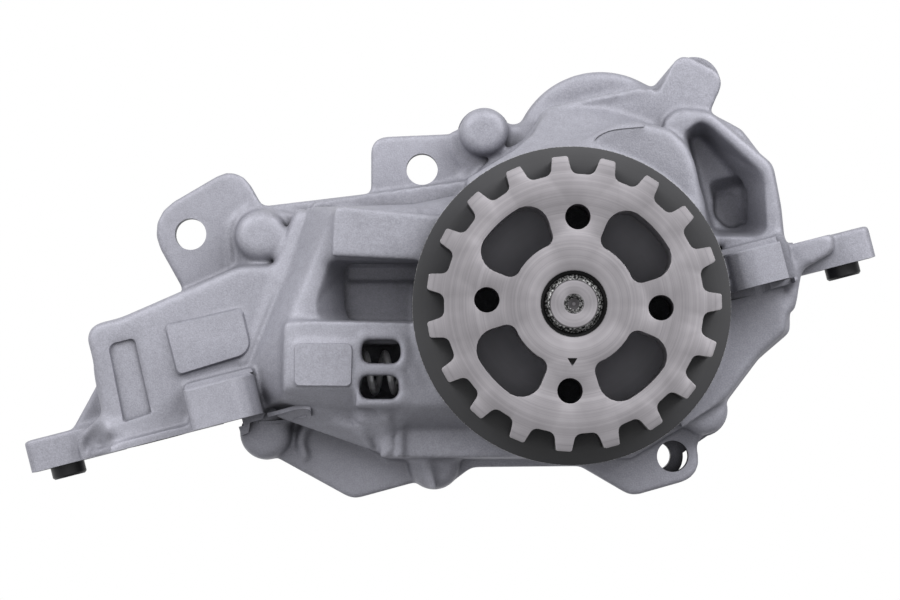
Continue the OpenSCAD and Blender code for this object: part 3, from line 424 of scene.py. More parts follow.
def add_bead(bm, path, radius, axes=pump):
    """Round bar along a path of points in millimetres, each across, deep and up."""
    places = [axes(*point) for point in path]
    for start, end in zip(places, places[1:]):
        add_round(bm, start, (end - start).normalized(), radius, 0.0, (end - start).length / MM, 12)
    for centre in places:
        bmesh.ops.create_icosphere(bm, subdivisions=2, radius=radius * MM, matrix=Matrix.Translation(centre))


def through(points, steps=4):
    """A smooth path through a few points."""
    ends = [points[0], *points, points[-1]]
    made = []
    for corners in zip(ends, ends[1:], ends[2:], ends[3:]):
        for k in range(steps):
            t = k / steps
            point = []
            for a, b, c, d in zip(*corners):
                bend = (2 * a - 5 * b + 4 * c - d) * t**2 + (3 * b - a - 3 * c + d) * t**3
                point.append(0.5 * (2 * b + (c - a) * t + bend))
            made.append(tuple(point))
    return made + [points[-1]]


def laid(skin, points, lift, axes=pump):
    """A smooth path that follows a skin seen from the front, lift millimetres proud of it."""
    path = through([(a, 0.0, b) for a, b in points])
    depths = []
    for point in path:
        start = axes(*point)
        hit = skin.ray_cast(Vector((start.x, -0.1, start.z)), Vector(Y_AXIS))[0]
        depths.append(hit.y / MM if hit else JOINT_Y)
    for _ in range(2):
        ends = [depths[0], *depths, depths[-1]]
        depths = [(a + 2 * b + c) / 4 for a, b, c in zip(ends, ends[1:], ends[2:])]
    return [(a, depth - lift, b) for (a, _, b), depth in zip(path, depths)]


def skin_of(obj):
    """What laid() needs to follow an object's surface."""
    return BVHTree.FromObject(obj, bpy.context.evaluated_depsgraph_get())


def add_hull(bm, points):
    """Convex solid round a few points."""
    verts = [bm.verts.new(p) for p in points]
    made = bmesh.ops.convex_hull(bm, input=verts)
    loose = [g for g in made["geom_interior"] if isinstance(g, bmesh.types.BMVert)]
    bmesh.ops.delete(bm, geom=loose, context="VERTS")


def add_sweep(bm, sections):
    """Closed bar through a row of sections, each a ring of as many points."""
    rings = [[bm.verts.new(point) for point in ring] for ring in sections]
    count = len(rings[0])
    for low, high in zip(rings, rings[1:]):
        for k in range(count):
            bm.faces.new((low[k], low[(k + 1) % count], high[(k + 1) % count], high[k]))
    bm.faces.new(rings[0][::-1])
    bm.faces.new(rings[-1])
    bmesh.ops.recalc_face_normals(bm, faces=bm.faces)


def rounded(points, steps=5):
    """Outline with its corners rounded; each point is across, up and radius."""
    made = []
    for k, (a, b, radius) in enumerate(points):
        here = Vector((a, b))
        before = (Vector(points[k - 1][:2]) - here).normalized()
        after = (Vector(points[(k + 1) % len(points)][:2]) - here).normalized()
        half = before.angle(after) / 2
        centre = here + (before + after).normalized() * radius / math.sin(half)
        start = here + before * radius / math.tan(half) - centre
        sweep = math.copysign(math.pi - 2 * half, before.x * after.y - before.y * after.x)
        for i in range(steps + 1):
            turned = centre + Matrix.Rotation(-sweep * i / steps, 2) @ start
            made.append(tuple(turned))
    return made


def add_pad(bm, points, depths, slope, axes=pump):
    """Convex pad with sloped sides; the depths are its small end, the end of its slope and its large end."""
    across, upward, _ = (sum(values) / len(points) for values in zip(*points))
    small = []
    for a, b, radius in points:
        small.append((a + math.copysign(slope, across - a), b + math.copysign(slope, upward - b), radius))
    rings = [(small, depths[0]), (points, depths[1]), (points, depths[2])]
    add_hull(bm, [axes(a, y, b) for ring, y in rings for a, b in rounded(ring)])


def drawn(draw, *shape):
    """A new mesh with one shape in it."""
    bm = bmesh.new()
    draw(bm, *shape)
    return bm


def to_object(name, bm):
    """Turns a finished bmesh into an object."""
    mesh = bpy.data.meshes.new(name)
    bm.to_mesh(mesh)
    bm.free()
    obj = bpy.data.objects.new(name, mesh)
    bpy.context.scene.collection.objects.link(obj)
    return obj


def applied(obj):
    """Replaces an object's mesh by what its modifiers make of it."""
    graph = bpy.context.evaluated_depsgraph_get()
    mesh = bpy.data.meshes.new_from_object(obj.evaluated_get(graph))
    obj.modifiers.clear()
    old = obj.data
    obj.data = mesh
    bpy.data.meshes.remove(old)
    return obj


def remesh(obj, size):
    """One closed skin round all that an object holds, in cells of a size."""
    mod = obj.modifiers.new("skin", "REMESH")
    mod.mode = "VOXEL"
    mod.voxel_size = size
    return applied(obj)


def smooth(obj, rounds, group=""):
    """Smooths a mesh, or only a vertex group of it."""
    mod = obj.modifiers.new("soft", "SMOOTH")
    mod.iterations = rounds
    mod.factor = 0.5
    mod.vertex_group = group
    return applied(obj)


def cut(obj, cutter, operation="DIFFERENCE"):
    """Cuts a closed mesh by another, or joins them, and removes the other."""
    mod = obj.modifiers.new("cut", "BOOLEAN")
    mod.operation = operation
    mod.solver = "MANIFOLD"
    mod.object = cutter
    applied(obj)
    bpy.data.objects.remove(cutter)
    return obj


def soften(obj, zones, rounds):
    """Smooths a mesh further near lines of points; each zone is a path and its reach in millimetres."""
    count = len(obj.data.vertices)
    places = numpy.empty(count * 3)
    obj.data.vertices.foreach_get("co", places)
    places = places.reshape(-1, 3)
    weight = numpy.zeros(count)
    # full weight over the inner part of the reach, then down to none at its end
    falloff = 1.6
    for path, reach in zones:
        for start, end in zip(path, path[1:]):
            start = numpy.array(start)
            along = numpy.array(end) - start
            part = numpy.clip((places - start) @ along / (along @ along), 0.0, 1.0)
            gap = numpy.linalg.norm(places - start - part[:, None] * along, axis=1)
            near = numpy.clip(falloff - falloff * gap / (reach * MM), 0.0, 1.0)
            weight = numpy.maximum(weight, near)
    group = obj.vertex_groups.new(name="soft")
    steps = 8
    levels = numpy.round(weight * steps).astype(int)
    for level in range(1, steps + 1):
        group.add(numpy.flatnonzero(levels == level).tolist(), level / steps, "REPLACE")
    smooth(obj, rounds, group.name)
    obj.vertex_groups.clear()
    return obj


def thin_out(obj, triangles):
    """Brings a mesh down to a number of triangles."""
    count = sum(len(p.vertices) - 2 for p in obj.data.polygons)
    if count > triangles:
        mod = obj.modifiers.new("thin", "DECIMATE")
        mod.ratio = triangles / count
        applied(obj)
    return obj


# Pieces


def ears():
    """Centre and radius of the hole in each of the three ears."""
    return [mount_named(name)[:2] for name in ("upper_left_ear", "top_ear", "lower_right_ear")]


def lugs():
    """Axes of the two lug bolts at the mounting face, and the radius of their holes."""
    (x, y, z), radius, dims = mount_named("mounting_bolts")
    half = dims["spacing_x_mm"] / 2
    return [(x - half, y, z), (x + half, y, z)], radius


def lug_heights():
    """Tops of the two lugs above the mounting face, from the front rims of their holes."""
    places, radius = lugs()
    heights = []
    for x, y, z in places:
        points = [vert.co / MM for vert in FRAME["nodes"]["housing"].data.vertices]
        rim = [p.z for p in points if p.y < y and math.hypot(p.x - x, p.y - y) < radius + 0.1]
        heights.append(max(rim) - z)
    return heights


def grow_machined(bm):
    """Adds a machining allowance to the joint face, the mounting face and the tops of the lugs."""
    places, _ = lugs()
    sole = places[0][2]
    tops = [sole + height for height in lug_heights()]
    near = 0.01
    lug_back = 34.0
    kinds = (
        (Vector(Y_AXIS), lambda c: abs(c.y - JOINT_Y) < near),
        (-Vector(Z_AXIS), lambda c: abs(c.z - sole) < near),
        (Vector(Z_AXIS), lambda c: any(abs(c.z - top) < near for top in tops) and c.y < lug_back),
    )
    for way, holds in kinds:
        level = [f for f in bm.faces if f.normal.dot(way) > 0.999]
        faces = [f for f in level if holds(f.calc_center_median() / MM)]
        if not faces:
            continue
        made = bmesh.ops.extrude_face_region(bm, geom=faces)
        moved = [g for g in made["geom"] if isinstance(g, bmesh.types.BMVert)]
        bmesh.ops.translate(bm, verts=moved, vec=way * ALLOWANCE * MM)
        bmesh.ops.delete(bm, geom=faces, context="FACES_ONLY")


def raised_lines():
    """Lips, folds and ridges that grow out of the casting, each a path, its radius and its axes."""
    top_ear_lip = [(-23.3, 39.9, 34.6), (-23.1, 39.9, 31.6), (-21.4, 39.9, 29.0)]
    top_ear_lip += [(-20.8, 39.9, 27.2), (-22.2, 39.9, 25.2), (-25.4, 40.1, 24.2)]
    yield through(top_ear_lip), 0.75, pump
    dome_ridge = [(-17.7, 38.2, 26.6), (-14.1, 37.0, 30.3), (-9.9, 36.4, 32.2), (-7.0, 36.4, 35.1)]
    dome_ridge += [(-4.7, 36.4, 38.5), (-2.2, 36.4, 39.7), (3.5, 36.4, 41.0), (14.1, 36.6, 43.2)]
    yield through(dome_ridge), 0.85, pump
    neck_brow = [(4.4, 26.2, 31.6), (5.6, 25.6, 33.6), (9.3, 25.3, 35.0), (13.8, 25.2, 35.6)]
    yield through(neck_brow), 1.3, pump
    knob_fold = [(-64.0, 40.4, 20.2), (-67.0, 40.2, 17.6), (-67.8, 40.2, 14.0), (-67.2, 40.0, 8.0)]
    yield through(knob_fold), 0.8, pump
    knob_neck = [(-61.4, 40.4, 13.0), (-61.4, 40.2, 7.0)]
    yield knob_neck, 4.3, pump
    foot_fold = [(-95.8, 33.8, 1.6), (-98.3, 35.8, 0.3), (-100.3, 37.0, -1.0)]
    foot_fold += [(-101.0, 37.6, -2.8), (-100.9, 37.8, -5.6)]
    yield through(foot_fold), 0.95, mount
    sole_lip = [(-99.0, 36.6, -4.7), (-96.4, 34.6, -4.5), (-93.0, 33.2, -4.4), (-80.1, 32.9, -4.6)]
    yield through(sole_lip), 1.1, mount
    arm_corner = [(-93.2, 36.0, 18.3), (-91.0, 36.0, 19.3), (-89.0, 36.2, 19.2), (-87.2, 36.6, 18.6)]
    yield arm_corner, 1.2, mount
    boss_rib = [(-51.6, 39.6, -22.6), (-53.2, 39.6, -24.8), (-53.6, 39.8, -27.0), (-52.8, 40.0, -29.6)]
    yield through(boss_rib), 1.1, pump


def filled_corners():
    """Slopes that fill corners of the casting, each the points of a convex solid."""
    thick = 5.0
    arm_slope = ((-99.6, 37.2, -5.6), (-99.8, 37.2, -1.8), (-97.2, 35.6, 0.2), (-95.2, 33.8, 1.2))
    arm_slope += ((-94.6, 33.6, -5.6),)
    yield [mount(x, y + back, z) for x, y, z in arm_slope for back in (0.0, thick + 1.0)]
    # behind the upper block, each point with the slope's height there
    block_slope = ((-32.0, 26.6, 19.2), (-15.0, 26.6, 19.6), (-32.0, 33.9, 20.5), (-15.0, 33.9, 24.0))
    block_foot = 14.0
    yield [pump(u, y, v) for u, y, top in block_slope for v in (top, block_foot)]
    window_notch = ((-38.2, 28.4, -24.0), (-32.8, 28.8, -24.0), (-38.2, 25.0, -19.2), (-32.8, 25.0, -19.2))
    yield [pump(u, y + back, v) for u, y, v in window_notch for back in (0.0, thick)]
    lug_slot = ((28.0, 30.4, -4.0), (36.0, 31.0, -4.0), (38.6, 34.6, -4.0), (43.2, 35.6, -4.0))
    lug_slot += ((28.0, 31.0, -8.6), (36.0, 31.6, -8.8), (43.2, 33.0, -8.8))
    yield [mount(x, y + back, z) for x, y, z in lug_slot for back in (0.0, thick)]


def housing_stock(bm):
    """Metal added to the casting before it is skinned: plugs for the bolt holes, lips and filled corners."""
    over = 0.5
    for centre, radius in ears():
        add_round(bm, mount(*centre), Y_AXIS, radius + over, -PAST, PAST)
    places, radius = lugs()
    for centre, height in zip(places, lug_heights()):
        add_round(bm, mount(*centre), Z_AXIS, radius + over, -ALLOWANCE, height + ALLOWANCE)
    for path, half, axes in raised_lines():
        add_bead(bm, path, half, axes)
    for points in filled_corners():
        add_hull(bm, points)


def housing_grooves(bm, skin):
    """Hollows in the casting's skin, softened with it."""
    sole_groove = [(-97.6, -3.1), (-93.0, -2.8), (-86.0, -2.75), (-79.4, -2.8)]
    add_bead(bm, laid(skin, sole_groove, 0.3, mount), 1.0, mount)
    long_leaf = [(-48.5, -20.9), (-45.0, -21.1), (-42.0, -21.6), (-39.8, -22.9), (-38.3, -26.6)]
    add_bead(bm, laid(skin, long_leaf, 0.35), 0.8)
    short_leaf = [(-43.4, -22.2), (-41.3, -23.9), (-39.6, -25.8), (-38.4, -28.0)]
    add_bead(bm, laid(skin, short_leaf, 0.3), 0.65)
    dome_hollow = [(-3.2, 41.3), (2.4, 42.7), (8.9, 44.3), (13.6, 45.0)]
    add_bead(bm, laid(skin, dome_hollow, 1.35), 1.6)


def housing_ridges(bm, skin):
    """Raised lines on the casting's skin, softened with it."""
    window_rib = [(-36.2, -21.2), (-35.9, -24.3), (-35.7, -28.4)]
    add_bead(bm, laid(skin, window_rib, -0.35), 1.0)
    arm_valley = [(-53.2, 17.6), (-58.8, 3.2), (-64.4, -11.0)]
    add_bead(bm, laid(skin, arm_valley, -1.5), 2.2)
    slope_edge = [(-51.0, -20.6), (-46.0, -21.9), (-42.6, -23.6), (-39.4, -27.4)]
    add_bead(bm, laid(skin, slope_edge, -0.35), 0.7)


def hollows():
    """Larger hollows with flat sides, each cut from the casting before it is softened."""
    # lower edge of the window block: both ends, the top of the slope and its foot
    before = 20.0
    block_front = 23.45
    slopes = ((-56.9, -42.3, -16.1, (30.5, -22.9)), (-42.4, -10.0, -19.5, (29.5, -24.4)))
    for u0, u1, top, foot in slopes:
        section = ((before, top), (block_front, top), foot, (before, foot[1] - 1.5))
        yield [pump(u, y, v) for u in (u0, u1) for y, v in section]
    # upper end of the recess between the blocks
    yield [pump(u, y, v) for u in (-44.5, -28.2) for y in (30.0, 36.6) for v in (5.0, 8.4)]
    # wide mouth of the shoulder recess's deeper part
    mouth = ((27.6, 26.0), (32.2, 27.0), (36.2, 25.6), (38.2, 22.8), (38.4, 16.8), (30.0, 16.4))
    floor = ((29.3, 23.2), (34.2, 24.8), (35.1, 16.9), (32.8, 16.6), (30.0, 19.2))
    yield [pump(u, 39.2, v) for u, v in mouth] + [pump(u, 43.0, v) for u, v in floor]


def soft_zones():
    """Edges of the casting that are rounded widely, each with its reach."""
    arm_top = [mount(x, 33.2, z) for x, z in ((-95.0, 20.4), (-87.6, 20.2), (-61.5, 24.2), (-50.0, 21.4))]
    arm_left = [mount(x, 33.2, z) for x, z in ((-95.2, 20.0), (-95.3, 0.5))]
    crest = [pump(u, 26.2, v) for u, v in ((-46.8, 19.4), (-55.4, -3.0), (-57.0, -18.2))]
    frame = [pump(u, 23.6, -19.4) for u in (-30.5, -12.0)]
    knob = [pump(-62.0, 35.6, 15.4), pump(-62.0, 37.4, 5.0)]
    dome = [pump(u, 41.2, v) for u, v in ((-11.0, 33.0), (-6.2, 41.4), (0.2, 46.0), (6.4, 47.4), (14.0, 45.6))]
    neck = [pump(u, 25.0, v) for u, v in ((2.0, 33.0), (20.4, 38.0), (23.8, 32.0), (26.8, 22.0), (27.4, 15.0))]
    rim = [pump(u, 31.0, v) for u, v in ((20.0, 38.6), (27.6, 38.6), (39.4, 28.0), (41.2, 20.0), (42.0, 12.4))]
    low = [pump(u, 31.8, v) for u, v in ((30.0, 0.4), (42.6, 0.6), (43.0, -4.6), (37.4, -9.6), (31.2, -18.0))]
    right_root = [mount(x, 34.0, z) for x, z in ((44.0, -6.0), (46.0, -4.0))]
    right_end = [mount(54.6, 33.6, z) for z in (-5.0, 1.0)]
    left_root = [mount(x, y, z) for x, y, z in ((-95.6, 31.0, -2.0), (-96.4, 35.0, 0.4), (-97.4, 38.4, 0.8))]
    boss = [pump(-60.6, 36.4, -25.0), pump(-60.0, 38.0, -24.0)]
    second = [pump(-27.0, 36.4, -31.0), pump(-27.0, 38.0, -31.0)]
    web = [pump(u, y, v) for u, y, v in ((-53.0, 28.2, -19.6), (-45.0, 28.2, -22.0), (-37.0, 28.4, -24.0))]
    block = [pump(u, 23.6, v) for u, v in ((-56.0, 4.4), (-29.0, 4.4))]
    return [
        (block, 2.6), (arm_top, 6.0), (arm_left, 3.0), (crest, 4.2), (frame, 5.0), (knob, 6.5),
        (dome, 4.0), (neck, 4.6), (rim, 2.4), (low, 3.2), (right_root, 3.4), (right_end, 3.0),
        (left_root, 3.2), (boss, 6.0), (second, 5.6), (web, 3.0),
    ]


def add_block(bm, low, high):
    """Box between two corners in millimetres."""
    size = [b - a for a, b in zip(low, high)]
    centre = mount(*[(a + b) / 2 for a, b in zip(low, high)])
    shape = Matrix.Diagonal((*[c * MM for c in size], 1.0))
    bmesh.ops.create_cube(bm, size=1.0, matrix=Matrix.Translation(centre) @ shape)


def lug_outline(x, y, way):
    """Outline round a lug from above, rounded towards the pump; way is 1 if the pump lies to its right."""
    shape = ((-7.6, -8.4), (2.0, -8.4), (5.6, -7.0), (7.4, -3.4), (7.4, 1.0), (-7.6, 1.0))
    return [(x + way * a, y + b) for a, b in shape]


def lug_edge(x, y, way):
    """Points and outward directions along a lug's front edge, from its square corner round its end."""
    arc = LUG_RADIUS - 0.8
    path = [(x - way * 8.2, y - LUG_RADIUS, 0.0, -1.0)]
    for k in range(9):
        turn = math.radians(90.0 * k / 8)
        across, back = math.sin(turn), -math.cos(turn)
        path.append((x + way * (0.8 + arc * across), y - 0.8 + arc * back, way * across, back))
    return path + [(x + way * (0.8 + arc), y + 2.4, way * 1.0, 0.0)]


def milled_faces():
    """Flat faces milled on the casting, each the two corners of its cutter."""
    ((left_x, lug_y, sole), (right_x, _, _)), _ = lugs()
    points = [vert.co / MM for vert in FRAME["nodes"]["housing"].data.vertices]
    left_end, right_end = min(p.x for p in points) - PAST, max(p.x for p in points) + PAST
    bottom, top = min(p.z for p in points) - PAST, max(p.z for p in points) + PAST
    back = max(p.y for p in points) + PAST
    joint = ((left_x - 22.5, JOINT_Y, bottom), (right_x + 7.3, JOINT_Y + PAST, top))
    left_foot_sole = ((left_end, lug_y - 3.0, sole - 4.0), (left_x - 2.2, back, sole))
    left_neck_sole = ((left_x - 3.2, lug_y + 5.0, sole - 1.4), (left_x + 2.2, back, sole))
    lug_front = lug_y - 8.4
    left_lug_sole = ((left_x - 7.6, lug_front, sole - 2.0), (left_x + 7.4, lug_y + 5.8, sole))
    right_lug_sole = ((right_x - 8.0, lug_front, sole - 1.5), (right_x + 6.4, lug_y + 2.6, sole))
    lug_top = sole + lug_heights()[1] + ALLOWANCE + 0.4
    right_lug_end = ((right_x + 5.4, lug_y - 9.0, sole - 0.2), (right_x + 9.0, lug_y + 2.4, lug_top))
    right_foot_sole = ((right_x + 7.4, JOINT_Y - 8.0, sole - 4.0), (right_end, back, sole))
    foot_top = sole + 6.4
    right_foot_top = ((right_x + 8.6, lug_y - 4.0, foot_top), (right_end, back, foot_top + PAST))
    return (
        joint, left_foot_sole, left_neck_sole, left_lug_sole, right_lug_sole, right_foot_sole,
        right_lug_end, right_foot_top,
    )


def lug_top_points(x, y, top, way, slope):
    """Cutter over a lug's top, with the wall behind the lug leaning back by a slope."""
    outline = lug_outline(x, y, way)
    high = top + ALLOWANCE + 0.4
    return [mount(a, b, top) for a, b in outline] + [
        mount(a, b + (slope if b > y else 0.0), high) for a, b in outline
    ]


def lug_chamfer(x, y, top, way, size=0.4, over=0.3):
    """Sections of the cutter that breaks a lug's front edge."""
    sections = []
    for px, py, nx, ny in lug_edge(x, y, way):
        inner = size + over
        sections.append([
            mount(px + nx * over, py + ny * over, top - size - over),
            mount(px - nx * inner, py - ny * inner, top + over),
            mount(px + nx * over, py + ny * over, top + over),
        ])
    return sections


def housing_machined():
    """Crisp cuts in the skinned casting, one mesh after the other: faces first, then edges and holes."""
    for low, high in milled_faces():
        yield drawn(add_block, low, high)
    places, radius = lugs()
    # each lug's place and top, the way to the pump and the lean of the wall behind it
    kinds = []
    for (x, y, z), height, way, lean in zip(places, lug_heights(), (1, -1), (1.8, 0.5)):
        kinds.append((x, y, z + height, way, lean))
    for kind in kinds:
        yield drawn(add_hull, lug_top_points(*kind))
    for kind in kinds:
        yield drawn(add_sweep, lug_chamfer(*kind[:4]))
    sunk = [(-90.8, 15.8, 1.6), (-85.1, 15.8, 1.0), (-85.5, 0.2, 0.5), (-91.6, -0.2, 0.6)]
    yield drawn(add_pad, sunk, (33.9, 32.9, 31.0), 0.35, mount)
    for centre, hole in ears():
        yield drawn(add_round, mount(*centre), Y_AXIS, hole, -2 * PAST, 2 * PAST)
    for centre, height in zip(places, lug_heights()):
        yield drawn(add_round, mount(*centre), Z_AXIS, radius, -PAST - 1.0, height + 0.05)


def housing_crisp(skin):
    """Crisp metal on the skinned casting, one mesh after the other: pads, a ledge and flash."""
    arm_pad = [(-78.9, 16.6, 1.2), (-63.0, 16.2, 1.4), (-63.1, 6.8, 2.8), (-78.9, 6.1, 1.0)]
    yield drawn(add_pad, arm_pad, (32.0, 32.5, 34.5), 0.35, mount)
    window_pad = [(-54.6, -15.8, 1.0), (-43.0, -15.9, 1.0), (-42.8, -7.1, 1.2), (-54.6, -7.1, 1.0)]
    yield drawn(add_pad, window_pad, (22.8, 23.3, 24.6), 0.3)
    # thin ledge right of the left lug, with a finer line under it
    ledge = [(-64.0, 33.2, -22.2), (-58.8, 30.8, -21.1), (-53.8, 28.2, -19.8), (-51.5, 27.6, -20.0)]
    ledge += [(-51.2, 28.4, -21.2)]
    under = laid(skin, [(-61.8, -22.9), (-57.2, -22.6), (-52.2, -21.4)], 0.3)
    back = 2.0
    for path, half in ((through(ledge), 0.4), (under, 0.28)):
        corners = ((back, -half), (0.0, -half), (0.0, half), (back, half))
        yield drawn(add_sweep, [[pump(u, y + dy, v + dv) for dy, dv in corners] for u, y, v in path])
    boss_drip = ((-66.2, 34.6, -22.4), (-63.4, 34.6, -22.3), (-63.9, 34.8, -24.9), (-65.3, 35.0, -25.5))
    yield drawn(add_hull, [pump(u, y + dy, v) for u, y, v in boss_drip for dy in (0.0, 1.5 * back)])
    neck_flash = laid(skin, [(4.7, 32.9), (5.6, 33.8), (8.4, 34.9), (14.4, 35.5)], 0.3)
    corners = ((0.3, -0.16), (0.0, -0.1), (0.4, 0.4), (1.0, 0.0))
    yield drawn(add_sweep, [[pump(u, y + dy, v + dv) for dy, dv in corners] for u, y, v in neck_flash])


def build_housing(context):
    """Skins the CAD housing, softens it as cast and machines it."""
    settings = context.scene.oilpump_casting
    bm = merged_copy("housing")
    grow_machined(bm)
    housing_stock(bm)
    obj = remesh(to_object("housing_skin", bm), settings.voxel)
    for points in hollows():
        cut(obj, to_object("hollow", drawn(add_hull, points)))
    skin = skin_of(obj)
    finer = 0.6
    for draw, operation in ((housing_ridges, "UNION"), (housing_grooves, "DIFFERENCE")):
        lines = remesh(to_object("lines", drawn(draw, skin)), settings.voxel * finer)
        cut(obj, lines, operation)
    remesh(obj, settings.voxel)
    smooth(obj, settings.rounds)
    soften(obj, soft_zones(), settings.soft_rounds)
    thin_out(obj, settings.triangles)
    for bm in housing_crisp(skin_of(obj)):
        cut(obj, to_object("crisp", bm), "UNION")
    for bm in housing_machined():
        cut(obj, to_object("machining", bm))
    return place(obj, "housing_cast", "housing", "housing", "cast_housing", cast_material(settings))


def bevelled(name, source, body, slot, material, width):
    """A CAD node's own shape with its edges broken."""
    obj = to_object(name, merged_copy(source))
    mod = obj.modifiers.new("edges", "BEVEL")
    mod.width = width
    mod.segments = 2
    mod.limit_method = "ANGLE"
    mod.angle_limit = math.radians(EDGE_ANGLE)
    mod.use_clamp_overlap = True
    return place(applied(obj), name, body, source, slot, material, EDGE_ANGLE)


class OILPUMP_OT_housing(bpy.types.Operator):
    """Build the die-cast housing"""

    bl_idname = "oilpump.housing"
    bl_label = "Housing"

    def execute(self, context):
        build_housing(context)
        return {"FINISHED"}


class OILPUMP_OT_cover(bpy.types.Operator):
    """Build the rear cover"""

    bl_idname = "oilpump.cover"
    bl_label = "Cover"

    def execute(self, context):
        casting = context.scene.oilpump_casting
        skin = cast_material(casting, "cast_cover", shade=0.95)
        bevelled("cover_cast", "cover", "housing", "cast_cover", skin, casting.bevel)
        return {"FINISHED"}


class OILPUMP_OT_pulley(bpy.types.Operator):
    """Build the pulley, its flange and the shaft end"""

    bl_idname = "oilpump.pulley"
    bl_label = "Pulley"

    def execute(self, context):
        steel = context.scene.oilpump_steel
        # counterbore painted near black as shade, hub face with its turned steps, and the web out to the teeth
        zones = [(5.5, 0.03), (6.36, 0.03), (6.42, 0.85), (6.9, 1.0), (9.2, 1.05), (9.3, 0.88), (9.5, 1.05)]
        zones += [(11.3, 1.04), (11.45, 0.85), (11.6, 0.98), (20.6, 1.0), (20.8, 0.93), (21.0, 1.0)]
        # painted shade: the sides darkened, near black in the hub and round the teeth, less so in the openings
        wall_tones_and_shade = [(11.6, 0.01), (12.0, 0.4), (22.3, 0.4), (22.8, 0.03)]
        face = turned_material("turned_face", steel.face, zones, wall_tones_and_shade, depth=0.0003)
        bevelled("pulley_turned", "pulley", "drive", "sintered_steel", face, steel.bevel)
        # paler floor of the openings, and black round the teeth
        zones = [(23.0, 1.0), (23.6, 0.2)]
        floor = [5 * c for c in steel.flange]
        black = turned_material(
            "black_flange", floor, zones, [(30.0, 0.04)], metallic=0.0, ringed=0.12, glint=1.1
        )
        bevelled("flange_black", "pulley_flange", "drive", "black_flange", black, steel.flange_bevel)
        # centre drilling painted in dark rings as shade, then the turned face and its groove, and the chamfer
        # half dark as painted reflection of dark surroundings; the sides are painted shade
        zones = [(0.0, 0.5), (0.25, 0.5), (0.35, 0.2), (1.15, 0.25), (1.25, 0.55), (1.6, 0.55), (1.75, 0.2)]
        zones += [(1.88, 0.2), (1.98, 1.0), (4.45, 1.05), (4.55, 0.16), (4.72, 0.16), (4.84, 0.5)]
        zones += [(5.35, 0.55), (5.42, 1.2)]
        shaft = turned_material("turned_shaft", steel.face, zones, [(5.0, 0.05)], depth=0.9)
        bevelled("shaft_turned", "drive_shaft", "drive", "ground_steel", shaft, steel.shaft_bevel)
        return {"FINISHED"}


class OILPUMP_OT_small_parts(bpy.types.Operator):
    """Give the small parts their finishes"""

    bl_idname = "oilpump.small_parts"
    bl_label = "Small parts"

    def execute(self, context):
        steel = context.scene.oilpump_steel
        finishes = {
            "dark_dowels": plain_material("dark_dowel", steel.dowel, 0.3, 0.38),
            "spring_steel": plain_material("spring_wire", (0.8, 0.8, 0.82), 0.5, 0.3),
            "pump_steel": plain_material("pump_steel", (0.42, 0.42, 0.43), 1.0, 0.35),
            "ring_steel": plain_material("ring_steel", (0.2, 0.2, 0.21), 1.0, 0.4),
            "ground_steel": plain_material("ground_steel", (0.5, 0.5, 0.51), 1.0, 0.3),
            "plated_screws": plain_material("screw_steel", (0.1, 0.1, 0.105), 0.8, 0.45),
            "bearing_bronze": plain_material("bronze", (0.5, 0.33, 0.16), 1.0, 0.4),
            "elastomer": plain_material("elastomer", (0.02, 0.02, 0.02), 0.0, 0.6),
            "seal_polymer": plain_material("seal_bar", (0.06, 0.05, 0.045), 0.0, 0.5),
        }
        made = {"housing", "cover", "pulley", "pulley_flange", "drive_shaft"}
        for part in FRAME["record"]["subparts"]:
            if part["node"] in made:
                continue
            mesh = FRAME["nodes"][part["node"]].data
            mesh.materials.clear()
            mesh.materials.append(finishes[part["material_slot"]])
        return {"FINISHED"}


